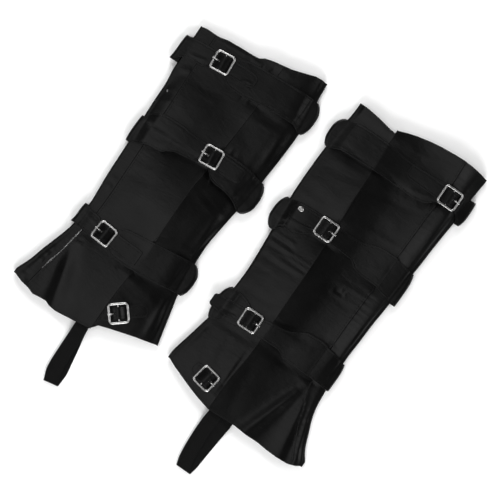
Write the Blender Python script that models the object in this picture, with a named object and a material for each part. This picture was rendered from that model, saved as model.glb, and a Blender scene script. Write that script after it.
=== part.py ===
"""Pair of buckled boot covers in soft black leather cloth, laid flat on a table.

Each cover is a tube pressed flat: a wide panel and a narrow panel on top, a closure strip along the calf
edge and a plain panel underneath. Three belts go round it, each with a square centre-bar buckle. A fourth
buckle holds the instep strap, and a folded elastic stirrup hangs out of the hem.

Sizes are in millimetres until a mesh is made. +Y runs along the covers from hem to top, +X across the pair
and +Z up from the table. The origin is the middle of the pair's footprint, on the table.
"""
from collections import namedtuple
import math

import bmesh
import bpy
from mathutils import Matrix
import numpy as np

MM = 0.001

# Driving sizes
LEATHER = 1.2            # wall of every leather piece
ELASTIC = 1.2            # wall of the stirrup
SEAM_GAP = 0.5           # between two pieces that are sewn edge to edge
LAP_GAP = 0.35           # between a piece and the next one along a belt
SEAT_GAP = 0.6           # from a strap down to the panel below it
UNDER_Z = 1.5            # underside of the body, which lies on the belts' bands
FOLD_RADIUS = 2.6        # outer radius of the body's rounded side edges
LOOP_RADIUS = 4.3        # outer radius of a belt's turn round the side
UNDER_LAP = 12.0         # how far a side piece runs on under the body
BELT_REACH = 24.0        # how far a belt's pad or tongue strap runs on under the body
CLOSURE_HEIGHT = 8.2     # height of the top surface at the closure line
SHIN_FULLNESS = 0.74     # share of the crest's rise left halfway across the narrow panel
LOWEST_VALLEY = 4.6      # lowest the top surface may dip in a fold
STEEPEST_DROP = 1.35     # most that a wall's height grows on a fold's slope, as a multiple of its thickness
ROWS = 19                # sections along a panel
ROW_CROWDING = 1.3       # power that crowds the rows towards the hem
ROW_STEP = 11.0          # longest stretch between two stations of a strap
LOOP_CLEARANCE = 2.2     # least distance of a belt's turn outside the body's edge
TONGUE_WIDTH = 19.2      # tongue inside the buckle's frame
BAR_LIFT = 4.5           # rise of the tongue over the buckle's bar
PAD_LIFT = 1.8           # rise of the tongue where it lies on the pad

BUCKLE_SIZE = 28.0       # outer width of the square frame
WIRE_WIDE = 3.6
WIRE_HIGH = 2.4
CORNER_RADIUS = 5.2      # outer corners of the frame
BAR_DIAMETER = 1.8
FRAME_HEIGHT = 4.5       # middle of the frame above the panel
BAR_HEIGHT = 3.7         # middle of the bar above the panel
FRAME_TILT = 0.085       # the frame's rise towards the pad, as a slope

EDGE_HEIGHT = UNDER_Z + 2 * FOLD_RADIUS
PAD_EDGE = 2 * LOOP_RADIUS
CENTRE = (-0.35, -3.77)   # middle of the footprint in the tables below

PAD_SHARES = (0.0, 0.33, 0.67, 1.0)
BAND_SHARES = (0.0, 0.5, 1.0)

# A section across the body: where its edges and seams lie, and how high its crest and its middle stand.
Section = namedtuple("Section", "y calf_edge closure seam shin_edge crest middle")
# One point of a panel's cut edge.
Edge = namedtuple("Edge", "x y")
# A fold of the flare: a line from its faint end to the hem, its half widths and its rise there.
Fold = namedtuple("Fold", "x0 y0 x1 y1 wide0 wide1 rise")
# A station along a strap: the strap's lower and upper edge at x.
Station = namedtuple("Station", "x low high")
# The turn of a strap round the side: the outline at its lower edge, middle and upper edge, and those edges' y.
Turn = namedtuple("Turn", "low middle high y_low y_high")
Belt = namedtuple("Belt", "number buckle angle pad shin_turn tongue band calf_turn")
# A section of the stirrup: left and right edges of its upper and lower layer.
Layer = namedtuple("Layer", "y upper_left upper_right lower_left lower_right")
Cover = namedtuple("Cover", "name shin sections wide_top narrow_top wide_hem narrow_hem folds belts instep stirrup")

LEFT_SECTIONS = [
    Section(250, -207.5, -184.0, -89.5, -33.0, 9.6, 8.6),
    Section(213, -206.9, -184.0, -89.5, -30.0, 11.0, 9.8),
    Section(180, -206.0, -184.0, -89.2, -25.5, 12.6, 11.0),
    Section(150, -204.8, -183.5, -89.1, -24.8, 13.4, 11.8),
    Section(125, -202.1, -182.5, -90.0, -25.6, 13.5, 12.0),
    Section(100, -201.6, -181.5, -91.5, -26.8, 13.0, 11.6),
    Section(75, -200.5, -181.0, -93.0, -28.5, 12.8, 11.6),
    Section(45, -198.6, -180.0, -95.5, -32.0, 13.6, 12.6),
    Section(20, -197.6, -179.5, -97.3, -34.7, 14.4, 13.6),
    Section(-5, -196.8, -179.0, -97.2, -37.6, 14.6, 13.8),
    Section(-30, -195.0, -178.5, -96.8, -39.5, 13.8, 12.8),
    Section(-52, -193.6, -179.0, -96.3, -39.0, 12.8, 11.4),
    Section(-75, -194.5, -180.5, -96.8, -36.0, 12.4, 10.8),
    Section(-92, -196.8, -182.2, -97.5, -34.4, 12.3, 10.6),
    Section(-106, -200.0, -184.8, -98.5, -33.2, 12.2, 10.4),
    Section(-120, -204.0, -188.0, -99.5, -30.3, 12.0, 10.2),
    Section(-138, -209.8, -192.0, -100.5, -26.3, 11.6, 9.8),
    Section(-157, -214.8, -196.0, -100.8, -22.3, 11.0, 9.4),
    Section(-180, -222.9, -200.0, -100.8, -17.0, 10.0, 9.0),
]
RIGHT_SECTIONS = [
    Section(262, 206.0, 171.0, 76.0, 17.0, 9.4, 8.2),
    Section(235, 204.0, 172.5, 76.5, 16.8, 10.4, 8.6),
    Section(200, 203.0, 171.0, 78.5, 14.0, 11.8, 9.0),
    Section(178, 201.4, 170.0, 79.5, 12.6, 12.8, 9.2),
    Section(150, 199.5, 169.5, 80.3, 11.5, 13.4, 9.4),
    Section(122, 198.2, 169.0, 82.0, 11.2, 13.4, 9.4),
    Section(100, 196.5, 168.0, 83.0, 11.6, 12.8, 9.4),
    Section(75, 195.5, 167.5, 84.0, 13.0, 12.8, 9.4),
    Section(50, 193.8, 166.5, 84.9, 15.4, 13.4, 9.6),
    Section(25, 192.0, 166.0, 85.4, 17.5, 14.2, 9.8),
    Section(0, 191.1, 165.5, 85.4, 19.4, 14.4, 10.0),
    Section(-25, 190.0, 165.5, 85.9, 20.4, 13.6, 9.8),
    Section(-50, 190.0, 166.5, 86.2, 19.5, 12.8, 9.6),
    Section(-75, 191.5, 169.0, 86.0, 18.0, 12.4, 9.6),
    Section(-96, 193.3, 174.0, 85.5, 15.7, 12.2, 9.6),
    Section(-115, 197.3, 181.5, 83.9, 12.0, 12.0, 9.4),
    Section(-135, 205.0, 188.5, 82.0, 8.3, 11.6, 9.2),
    Section(-155, 212.5, 198.0, 81.5, 4.3, 11.0, 9.0),
    Section(-173, 222.2, 208.0, 81.5, 1.0, 10.2, 8.8),
]

# The cut edges at the top and at the hem, read across the cover
LEFT_WIDE_TOP = [Edge(-208, 213.0), Edge(-198, 215.2), Edge(-180, 215.4), Edge(-168, 218.4), Edge(-150, 220.0),
                 Edge(-131, 221.0), Edge(-119.5, 222.7), Edge(-116.5, 226.4), Edge(-104, 230.0), Edge(-90, 232.6)]
LEFT_NARROW_TOP = [Edge(-90, 232.6), Edge(-80, 234.4), Edge(-64, 239.7), Edge(-49.6, 244.8), Edge(-40, 245.8),
                   Edge(-32, 245.0)]
LEFT_WIDE_HEM = [Edge(-223, -180.5), Edge(-208, -185.6), Edge(-197, -187.2), Edge(-187, -190.4),
                 Edge(-176, -188.8), Edge(-168, -188.0), Edge(-161.6, -190.9), Edge(-150.4, -192.0),
                 Edge(-136, -189.9), Edge(-122, -188.0), Edge(-101, -184.6)]
LEFT_NARROW_HEM = [Edge(-101, -177.6), Edge(-80, -170.4), Edge(-64, -165.6), Edge(-48, -160.8),
                   Edge(-32, -156.8), Edge(-20, -153.5)]
RIGHT_WIDE_TOP = [Edge(77, 248.4), Edge(87, 252.3), Edge(100.5, 256.7), Edge(120, 261.0), Edge(135, 263.3),
                  Edge(153, 264.9), Edge(168, 265.8), Edge(184, 264.9), Edge(199, 262.9), Edge(206, 261.0)]
RIGHT_NARROW_TOP = [Edge(17, 250.0), Edge(29, 249.8), Edge(48.3, 247.5), Edge(67.7, 244.0), Edge(76, 243.3)]
RIGHT_WIDE_HEM = [Edge(81.5, -182.6), Edge(104, -181.4), Edge(121, -180.5), Edge(141, -181.9),
                  Edge(157, -181.4), Edge(172, -182.7), Edge(188, -183.0), Edge(203.7, -181.9),
                  Edge(214.6, -178.3), Edge(222.2, -173.0)]
RIGHT_NARROW_HEM = [Edge(3.9, -157.5), Edge(15.7, -162.6), Edge(31.3, -168.1), Edge(47, -173.6),
                    Edge(62.7, -178.3), Edge(81.5, -182.6)]

LEFT_FOLDS = [
    Fold(-178, -104, -166, -188, 6.5, 9.0, -5.6),
    Fold(-176, -92, -152, -188, 8.0, 11.0, 2.6),
    Fold(-201, -118, -210, -182, 5.0, 6.5, 1.8),
]
RIGHT_FOLDS = [
    Fold(168, -80, 123, -182, 7.5, 9.5, 3.2),
    Fold(165, -96, 139, -183, 6.5, 8.5, -5.4),
    Fold(168, -86, 171, -183, 8.0, 11.0, 3.4),
    Fold(177, -112, 197, -180, 6.0, 7.5, -4.4),
]

LEFT_BELTS = [
    Belt(1, (-156.8, 190.9), 6.0,
         pad=[Station(-155.8, 181.2, 200.6), Station(-147, 180.0, 203.5), Station(-142, 175.2, 206.0),
              Station(-137.6, 171.2, 209.0), Station(-129.6, 169.6, 212.0), Station(-112, 169.8, 214.5),
              Station(-99, 172.0, 215.5), Station(-80, 175.2, 217.0), Station(-56, 176.8, 218.5),
              Station(-38, 177.6, 219.0)],
         shin_turn=Turn(-23.0, -16.5, -26.8, 172.0, 218.2),
         tongue=[Station(-107.2, 189.5, 197.5), Station(-109, 186.2, 200.4), Station(-114, 184.2, 202.6),
                 Station(-128, 182.8, 203.0), Station(-140, 182.0, 202.0), Station(-172, 174.4, 199.6),
                 Station(-180, 171.4, 199.0), Station(-192, 171.2, 198.0), Station(-200, 169.4, 197.0),
                 Station(-207, 165.0, 196.0)],
         band=[],
         calf_turn=Turn(-217.4, -216.4, -215.2, 158.0, 194.5)),
    Belt(2, (-99.2, 84.0), 6.0,
         pad=[Station(-98.2, 74.0, 94.0), Station(-91, 66.0, 98.0), Station(-84.8, 60.0, 99.0),
              Station(-78, 58.0, 99.5), Station(-64, 57.2, 99.5), Station(-51.2, 54.8, 98.5),
              Station(-43, 51.6, 97.0)],
         shin_turn=Turn(-29.4, -17.0, -25.4, 45.0, 93.5),
         tongue=[Station(-51.5, 79.0, 91.5), Station(-53.5, 75.6, 94.2), Station(-58, 73.6, 95.6),
                 Station(-72, 73.0, 95.4), Station(-84, 73.6, 94.8), Station(-114, 67.4, 95.0),
                 Station(-120, 65.6, 95.0), Station(-130, 64.0, 94.6), Station(-141, 62.4, 95.0),
                 Station(-150.4, 57.4, 96.0), Station(-158, 52.0, 96.0), Station(-176, 49.6, 95.0),
                 Station(-187, 44.6, 91.0), Station(-195, 41.6, 86.0)],
         band=[],
         calf_turn=Turn(-202.6, -204.2, -203.0, 39.0, 77.5)),
    Belt(3, (-155.2, -75.0), -4.0,
         pad=[Station(-154.2, -85.0, -65.0), Station(-148, -86.5, -62.5), Station(-143, -88.0, -58.8),
              Station(-137.6, -90.4, -54.8), Station(-129.6, -93.6, -52.4), Station(-116, -94.0, -50.4),
              Station(-96, -92.4, -47.6), Station(-80, -90.8, -45.5), Station(-64, -89.2, -43.4),
              Station(-50, -86.6, -41.8)],
         shin_turn=Turn(-31.0, -24.8, -36.8, -84.6, -40.6),
         tongue=[Station(-101.2, -86.4, -67.4), Station(-104, -87.8, -66.0), Station(-112, -87.8, -65.6),
                 Station(-130, -86.8, -65.2), Station(-140, -86.0, -65.0), Station(-171, -86.4, -61.4),
                 Station(-177, -86.4, -60.0), Station(-187, -86.2, -59.0)],
         band=[],
         calf_turn=Turn(-201.5, -199.6, -198.2, -85.0, -56.0)),
]
RIGHT_BELTS = [
    Belt(1, (179.4, 215.6), 0.0,
         pad=[Station(178.4, 206.0, 225.2), Station(172, 203.5, 228.0), Station(166, 199.4, 228.6),
              Station(161.4, 195.4, 228.2), Station(154, 191.2, 227.4), Station(135, 188.3, 226.0),
              Station(120, 189.0, 225.0), Station(100, 189.4, 225.8), Station(77, 188.5, 228.0),
              Station(48, 187.4, 228.4), Station(30, 185.8, 227.0)],
         shin_turn=Turn(10.6, 3.3, 13.4, 179.5, 222.6),
         tongue=[Station(116.3, 211.0, 221.5), Station(118, 208.4, 224.0), Station(123, 206.4, 225.6),
                 Station(140, 206.0, 226.0), Station(163, 206.0, 225.8), Station(193, 203.6, 226.6),
                 Station(198, 202.6, 227.6)],
         band=[],
         calf_turn=Turn(209.0, 212.8, 211.6, 192.0, 229.0)),
    Belt(2, (73.2, 92.4), 0.0,
         pad=[Station(72.2, 82.8, 102.0), Station(66, 81.5, 103.0), Station(60, 76.0, 104.0),
              Station(51.7, 70.0, 104.4), Station(38, 64.4, 103.2), Station(26, 63.3, 102.0)],
         shin_turn=Turn(12.6, 1.9, 9.4, 52.5, 98.8),
         tongue=[Station(22.0, 81.5, 94.0), Station(24, 78.6, 97.0), Station(28, 77.2, 99.0),
                 Station(40, 78.0, 101.0), Station(57, 80.8, 101.8), Station(90, 80.0, 104.0),
                 Station(105, 79.6, 103.6), Station(120, 79.0, 105.0), Station(127, 75.0, 107.4),
                 Station(133, 71.0, 110.0), Station(141, 69.6, 112.6), Station(150, 69.3, 114.0),
                 Station(164, 69.0, 114.6), Station(171.0, 68.2, 114.2)],
         band=[Station(171.3, 67.6, 113.4), Station(184, 65.2, 111.4)],
         calf_turn=Turn(201.6, 202.2, 198.4, 61.0, 108.6)),
    Belt(3, (61.0, -58.7), 2.0,
         pad=[Station(60.0, -68.3, -49.1), Station(54, -74.0, -46.0), Station(47, -77.8, -41.4),
              Station(38, -79.2, -38.4), Station(31, -79.6, -37.0)],
         shin_turn=Turn(13.6, 8.4, 17.6, -85.6, -36.4),
         tongue=[Station(4.0, -68.6, -57.0), Station(5.6, -70.6, -55.0), Station(10, -71.8, -53.4),
                 Station(22, -71.8, -51.6), Station(45, -70.4, -49.4), Station(78, -70.2, -46.6),
                 Station(87, -69.4, -45.2), Station(97, -69.0, -44.2), Station(108, -68.8, -42.0),
                 Station(116, -71.0, -38.2), Station(122, -74.8, -34.4), Station(132, -75.0, -29.2),
                 Station(141, -74.9, -28.2), Station(152, -74.9, -27.4), Station(161.4, -74.9, -28.8)],
         band=[Station(161.7, -74.6, -30.2), Station(179, -75.4, -32.4)],
         calf_turn=Turn(194.4, 194.8, 192.2, -76.4, -36.0)),
]

# An instep strap: its buckle, the strap's direction, where it starts at the seam and where its tip ends.
Instep = namedtuple("Instep", "buckle angle width seam_x tip")
LEFT_INSTEP = Instep((-82.6, -147.6), 40.0, 16.0, -99.9, 38.0)
RIGHT_INSTEP = Instep((57.5, -151.3), -10.0, 17.5, 80.9, 23.0)

# The rounded tip of an instep strap: how far back from its end and how wide there, as a share of its width
TipRow = namedtuple("TipRow", "back width")
INSTEP_TIP = [TipRow(6.0, 1.0), TipRow(2.0, 0.84), TipRow(0.0, 0.45)]

LEFT_STIRRUP = [
    Layer(-176, -121.5, -104.5, -120.5, -103.5), Layer(-190, -121.4, -104.0, -120.5, -102.6),
    Layer(-200, -121.0, -102.8, -120.2, -101.2), Layer(-212, -120.6, -101.6, -119.0, -98.8),
    Layer(-236, -120.0, -100.0, -116.5, -94.6), Layer(-254, -118.6, -98.2, -114.4, -92.0),
    Layer(-269.8, -112.8, -92.6, -112.8, -92.6)]
RIGHT_STIRRUP = [
    Layer(-172, 83.0, 102.0, 98.0, 118.4), Layer(-186, 83.0, 102.0, 98.0, 118.4),
    Layer(-197, 82.2, 101.6, 97.6, 117.4), Layer(-210, 82.2, 102.0, 97.0, 116.2),
    Layer(-236, 83.6, 103.6, 96.0, 114.0), Layer(-252, 85.6, 106.0, 93.6, 112.8),
    Layer(-263.0, 88.6, 110.8, 88.6, 110.8)]

LEFT = Cover("left", 1, LEFT_SECTIONS, LEFT_WIDE_TOP, LEFT_NARROW_TOP, LEFT_WIDE_HEM, LEFT_NARROW_HEM,
             LEFT_FOLDS, LEFT_BELTS, LEFT_INSTEP, LEFT_STIRRUP)
RIGHT = Cover("right", -1, RIGHT_SECTIONS, RIGHT_WIDE_TOP, RIGHT_NARROW_TOP, RIGHT_WIDE_HEM, RIGHT_NARROW_HEM,
              RIGHT_FOLDS, RIGHT_BELTS, RIGHT_INSTEP, RIGHT_STIRRUP)

# Rise of a tongue along its run through the buckle: over the bar, then down onto the pad
BarPass = namedtuple("BarPass", "along rise")
BAR_PASS = [BarPass(-40, 0.0), BarPass(-10.2, 0.0), BarPass(-8.2, 0.7), BarPass(-4.4, 3.3),
            BarPass(0, BAR_LIFT), BarPass(4.4, 3.6), BarPass(8.2, 2.2), BarPass(10.2, PAD_LIFT),
            BarPass(40, PAD_LIFT)]
# Rows of a tongue inside the buckle's frame; the prong's slot runs from the second to the fourth
BUCKLE_STATIONS = (-14.0, -10.0, -7.0, -4.2, -1.6, 1.6, 4.2, 7.0, 10.2, 14.0)
SLOT_ROWS = (-10.0, -4.2)
TONGUE_SHARES = (0.0, 0.4, 0.6, 1.0)
# The prong's middle line: from the bar, under the tongue, up through its slot and onto the frame
PRONG_LINE = [(-1.5, 3.0), (-4.4, 2.1), (-6.8, 4.0), (-9.4, 6.4), (-14.6, 6.9)]
PRONG_WIDE = 2.2
PRONG_HIGH = 1.3


def make_material(name, colour, roughness, metallic):
    """A plain Principled surface."""
    material = bpy.data.materials.new(name)
    material.use_nodes = True
    shader = material.node_tree.nodes["Principled BSDF"]
    shader.inputs["Base Color"].default_value = (*colour, 1.0)
    shader.inputs["Roughness"].default_value = roughness
    shader.inputs["Metallic"].default_value = metallic
    return material


def column(table, name):
    """One named column of a table as an array."""
    return np.array([getattr(row, name) for row in table], float)


def through(x, knots, values):
    """The smooth curve through the knots: a cubic on each stretch that never swings past its two knots."""
    x = np.asarray(x, float)
    knots = np.broadcast_to(knots, x.shape + np.shape(knots)[-1:])
    values = np.broadcast_to(values, knots.shape)
    x = np.clip(x, knots[..., 0], knots[..., -1])
    chord = np.diff(values, axis=-1) / np.diff(knots, axis=-1)
    before, after = chord[..., :-1], chord[..., 1:]
    same_way = before * after > 0
    shared = 2 * before * after / np.where(same_way, before + after, 1.0)
    slope = np.concatenate([chord[..., :1], np.where(same_way, shared, 0.0), chord[..., -1:]], axis=-1)
    stretch = np.clip((x[..., None] >= knots).sum(-1) - 1, 0, knots.shape[-1] - 2)[..., None]

    def pick(values_at, step=0):
        return np.take_along_axis(values_at, stretch + step, -1)[..., 0]

    length = pick(knots, 1) - pick(knots)
    t = (x - pick(knots)) / length
    return ((2 * t**3 - 3 * t**2 + 1) * pick(values) + (t**3 - 2 * t**2 + t) * length * pick(slope)
            + (3 * t**2 - 2 * t**3) * pick(values, 1) + (t**3 - t**2) * length * pick(slope, 1))


def smooth_step(t):
    """0 before 0, 1 after 1 and a smooth rise between."""
    t = np.clip(t, 0, 1)
    return t * t * (3 - 2 * t)


def section_at(cover, name, y):
    """A column of the cover's sections at the height y."""
    table = cover.sections[::-1]
    return through(y, column(table, "y"), column(table, name))


def fold_rise(cover, x, y):
    """Sum of the flare's folds: each is a bell across its line that grows towards the hem."""
    rise = np.zeros(np.broadcast(x, y).shape)
    for fold in cover.folds:
        run_x, run_y = fold.x1 - fold.x0, fold.y1 - fold.y0
        length = math.hypot(run_x, run_y)
        along = ((x - fold.x0) * run_x + (y - fold.y0) * run_y) / length**2
        across = ((x - fold.x0) * run_y - (y - fold.y0) * run_x) / length
        width = fold.wide0 + (fold.wide1 - fold.wide0) * np.clip(along, 0, 1)
        rise += fold.rise * smooth_step(along / 0.6) * np.exp(-((across / width) ** 2))
    return rise


def top_height(cover, x, y):
    """Height of the body's top surface: a smooth curve across the section, plus the folds."""
    y = np.broadcast_to(y, np.broadcast(x, y).shape)
    calf, closure, seam, shin = (section_at(cover, name, y) for name in ("calf_edge", "closure", "seam", "shin_edge"))
    crest, middle = section_at(cover, "crest", y), section_at(cover, "middle", y)
    across = cover.shin * (x - seam)
    places = [cover.shin * (calf - seam) + FOLD_RADIUS, cover.shin * (closure - seam),
              cover.shin * (closure - seam) / 2, np.zeros_like(seam),
              cover.shin * (shin - seam) / 2, cover.shin * (shin - seam) - FOLD_RADIUS]
    edge = np.full_like(seam, EDGE_HEIGHT)
    heights = [edge, np.full_like(seam, CLOSURE_HEIGHT), middle, crest,
               EDGE_HEIGHT + SHIN_FULLNESS * (crest - EDGE_HEIGHT), edge]
    base = through(across, np.stack(places, -1), np.stack(heights, -1))
    inset = np.minimum(across - places[0], places[-1] - across)
    folded = base + fold_rise(cover, x, y) * smooth_step(inset / 7.0)
    return np.maximum(folded, np.minimum(base, LOWEST_VALLEY))


def edge_at(table, x):
    """Height y of a cut edge at x."""
    return np.interp(x, column(table, "x"), column(table, "y"))


def wall(name, outer, thickness, material, flip=False, level=False, hole=None):
    """A closed wall: the grid of outer points, the same grid moved in along its normals, and a rim between.

    A level wall is moved straight down instead, so that its folds never cross. A hole leaves out the cells
    between two rows and two columns.
    """
    along = np.gradient(outer, axis=0)
    across = np.gradient(outer, axis=1)
    normal = np.cross(across, along)
    normal /= np.linalg.norm(normal, axis=-1, keepdims=True)
    if flip:
        normal = -normal
    inner = outer - normal * thickness
    if level:
        drop = thickness * np.minimum(1 / normal[..., 2], STEEPEST_DROP)
        inner = outer - np.stack([np.zeros_like(drop), np.zeros_like(drop), drop], -1)
    rows, columns = outer.shape[:2]
    points = np.concatenate([outer.reshape(-1, 3), inner.reshape(-1, 3)])
    index = np.arange(rows * columns).reshape(rows, columns)
    below = rows * columns
    cells = split_cells(outer, index)
    kept = np.ones(cells.shape[:2], bool)
    rims = [np.concatenate([index[0, :], index[1:, -1], index[-1, -2::-1], index[-2:0:-1, 0]])]
    if hole:
        (row0, row1), (column0, column1) = hole
        kept[row0:row1, column0:column1] = False
        opening = index[row0:row1 + 1, column0:column1 + 1]
        rims.append(np.concatenate([opening[:, 0], opening[-1, 1:], opening[-2::-1, -1], opening[0, -2:0:-1]]))
    triangles = cells[kept].reshape(-1, 3)
    faces = triangles.tolist() + (triangles[:, ::-1] + below).tolist()
    for rim in rims:
        turned = np.roll(rim, -1)
        faces += np.stack([rim, turned, turned + below, rim + below], -1).tolist()
    return add_piece(name, points, faces, material)


def split_cells(grid, index):
    """Two triangles for each cell of a grid, split along the cell's shorter diagonal."""
    a, b, c, d = index[:-1, :-1], index[1:, :-1], index[1:, 1:], index[:-1, 1:]
    rising = np.linalg.norm(grid[1:, 1:] - grid[:-1, :-1], axis=-1)
    falling = np.linalg.norm(grid[1:, :-1] - grid[:-1, 1:], axis=-1)
    by_rising = np.stack([np.stack([a, b, c], -1), np.stack([a, c, d], -1)], -2)
    by_falling = np.stack([np.stack([a, b, d], -1), np.stack([b, c, d], -1)], -2)
    return np.where((rising < falling)[..., None, None], by_rising, by_falling)


def add_piece(name, points, faces, material):
    """A named object from points in millimetres, its faces turned outwards and shaded smooth."""
    mesh = bpy.data.meshes.new(name)
    mesh.from_pydata(((points - np.array([*CENTRE, 0.0])) * MM).tolist(), [], faces)
    body = bmesh.new()
    body.from_mesh(mesh)
    bmesh.ops.recalc_face_normals(body, faces=body.faces)
    body.to_mesh(mesh)
    body.free()
    mesh.materials.append(material)
    mesh.shade_smooth()
    mesh.set_sharp_from_angle(angle=math.radians(50))
    piece = bpy.data.objects.new(name, mesh)
    bpy.context.scene.collection.objects.link(piece)
    return piece


def side_arc(edge_x, outward, radius, base_z, steps):
    """Points round a side edge from its top to its underside, as x and z for each step."""
    turn = np.linspace(math.pi / 2, -math.pi / 2, steps + 1)[1:]
    x = (edge_x - outward * radius)[..., None] + outward * radius * np.cos(turn)
    z = base_z + radius + radius * np.sin(turn)
    return x, np.broadcast_to(z, x.shape)


def row_shares():
    """Where a panel's rows lie between the hem and the top, closer together by the hem's folds."""
    return np.linspace(0, 1, ROWS)[:, None] ** ROW_CROWDING


def panel_rows(cover, place, top_table, hem_table):
    """Solves x and y of a panel's top points: place(y) gives x, and y runs from the hem to the top at that x."""
    share = row_shares()
    y = hem_table[0].y + share * (top_table[0].y - hem_table[0].y)
    for _ in range(4):
        x = place(y)
        low, high = edge_at(hem_table, x), edge_at(top_table, x)
        y = low + share * (high - low)
    return x, y


def wide_panel(cover, material):
    """The broad top panel, from the closure line to the seam."""
    share = np.linspace(0, 1, 18)[None, :]

    def place(y):
        start = section_at(cover, "closure", y) + cover.shin * SEAM_GAP / 2
        end = section_at(cover, "seam", y) - cover.shin * SEAM_GAP / 2
        return start + share * (end - start)

    x, y = panel_rows(cover, place, cover.wide_top, cover.wide_hem)
    outer = np.stack([x, y, top_height(cover, x, y)], -1)
    wall(f"{cover.name}_wide_panel", outer, LEATHER, material, flip=cover.shin < 0, level=True)


def side_piece(cover, name, start_name, edge_name, outward, counts, tables, material):
    """A panel from a seam on top, round a side edge and a little way under the body."""
    share = np.linspace(0, 1, counts)[None, :]

    def place(y):
        start = section_at(cover, start_name, y) + outward * SEAM_GAP / 2
        end = section_at(cover, edge_name, y) - outward * FOLD_RADIUS
        return start + share * (end - start)

    x, y = panel_rows(cover, place, *tables)
    z = top_height(cover, x, y)
    edge_x = x[:, -1] + outward * FOLD_RADIUS
    arc_x, arc_z = side_arc(edge_x, outward, FOLD_RADIUS, UNDER_Z, 4)
    end_x = (edge_x - outward * UNDER_LAP)[:, None]
    x = np.concatenate([x, arc_x, end_x], axis=1)
    z = np.concatenate([z, arc_z, np.full_like(end_x, UNDER_Z)], axis=1)
    y = np.concatenate([y, np.repeat(y[:, -1:], x.shape[1] - y.shape[1], axis=1)], axis=1)
    wall(f"{cover.name}_{name}", np.stack([x, y, z], -1), LEATHER, material, flip=outward < 0)
    return end_x, y[:, -1:]


def under_panel(cover, calf_end, shin_end, material):
    """The flat panel between the ends of the two side pieces, which the cover lies on."""
    calf_x, calf_y = calf_end[0] + cover.shin * SEAM_GAP, calf_end[1]
    shin_x, shin_y = shin_end[0] - cover.shin * SEAM_GAP, shin_end[1]
    share = np.linspace(0, 1, 6)[None, 1:-1]
    up = row_shares()
    middle_x = calf_x + share * (shin_x - calf_x)
    hem = edge_at(sorted(cover.wide_hem + cover.narrow_hem), middle_x[:1])
    top = edge_at(sorted(cover.wide_top + cover.narrow_top), middle_x[-1:])
    middle_y = hem + up * (top - hem)
    x = np.concatenate([calf_x, middle_x, shin_x], axis=1)
    y = np.concatenate([calf_y, middle_y, shin_y], axis=1)
    outer = np.stack([x, y, np.full_like(x, UNDER_Z)], -1)
    wall(f"{cover.name}_under_panel", outer, LEATHER, material, flip=cover.shin > 0)


def local_place(buckle, angle, shin, x, y):
    """Position along and across a strap whose buckle is at the origin, with its pad towards +along."""
    turn = math.radians(angle)
    dx, dy = shin * (x - buckle[0]), y - buckle[1]
    return dx * math.cos(turn) + shin * dy * math.sin(turn), dy * math.cos(turn) - shin * dx * math.sin(turn)


def strap_points(cover, x, y, rise):
    """Outer points of a strap that lies on the body, or level with its turn beside it."""
    z = np.maximum(top_height(cover, x, y) + SEAT_GAP + LEATHER, 2 * LOOP_RADIUS) + rise
    return np.stack(np.broadcast_arrays(x, y, z), -1)


def station_grid(stations, shares):
    """x and y of a strap's points: one row for each station, from its lower to its upper edge."""
    share = np.array(shares)[None, :]
    x = np.repeat(column(stations, "x")[:, None], len(shares), axis=1)
    low, high = column(stations, "low")[:, None], column(stations, "high")[:, None]
    return x, low + share * (high - low)


def filled_rows(rows):
    """The rows of points with more between any two that are further apart than a row step."""
    filled = [rows[0]]
    for row in rows[1:]:
        gap = float(np.abs(row[:, 0] - filled[-1][:, 0]).max())
        pieces = max(1, math.ceil(gap / ROW_STEP))
        last = filled[-1]
        filled += [last + (row - last) * (piece / pieces) for piece in range(1, pieces + 1)]
    return np.stack(filled)


def turn_edge(cover, turn, outward, shares):
    """x and y of the outline of a belt's turn, which always clears the body's edge."""
    share = np.array(shares)
    y = turn.y_low + share * (turn.y_high - turn.y_low)
    x = through(share, np.array([0, 0.5, 1]), np.array([turn.low, turn.middle, turn.high]))
    body = section_at(cover, "shin_edge" if outward == cover.shin else "calf_edge", y)
    return outward * np.maximum(outward * x, outward * body + LOOP_CLEARANCE), y


def turn_points(cover, turn, outward, shares):
    """A belt's turn round the side of the cover, from the top of its arc down to the table."""
    edge_x, edge_y = turn_edge(cover, turn, outward, shares)
    arc_x, arc_z = side_arc(edge_x, outward, LOOP_RADIUS, 0.0, 6)
    return np.stack([arc_x.T, np.broadcast_to(edge_y, arc_x.T.shape), arc_z.T], -1)


def strap_rows(cover, stations, turn, outward, shares):
    """x and y of a strap's rows on top of the body, up to the start of its turn where it has one."""
    x, y = station_grid(stations, shares)
    rows = np.stack([x, y], -1)
    if turn:
        edge_x, edge_y = turn_edge(cover, turn, outward, shares)
        start = np.stack([edge_x - outward * LOOP_RADIUS, edge_y], -1)
        rows = np.concatenate([rows, start[None]])
    return filled_rows(rows)


def under_point_row(turn, outward, shares, reach):
    """The row of points where a belt piece ends under the body."""
    share = np.array(shares)
    x = np.full(len(shares), 0.0) + turn.middle - outward * reach
    y = turn.y_low + share * (turn.y_high - turn.y_low)
    return np.stack([x, y, np.zeros(len(shares))], -1)[None]


def pad_piece(cover, belt, material):
    """The part of a belt that holds the buckle: from under the bar round the shin edge to the underside."""
    rows = strap_rows(cover, belt.pad, belt.shin_turn, cover.shin, PAD_SHARES)
    top = strap_points(cover, rows[..., 0], rows[..., 1], 0.0)
    turn = turn_points(cover, belt.shin_turn, cover.shin, PAD_SHARES)
    end = under_point_row(belt.shin_turn, cover.shin, PAD_SHARES, BELT_REACH)
    outer = np.concatenate([top, turn, end])
    wall(f"{cover.name}_strap{belt.number}_pad", outer, LEATHER, material, flip=cover.shin > 0)


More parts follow.
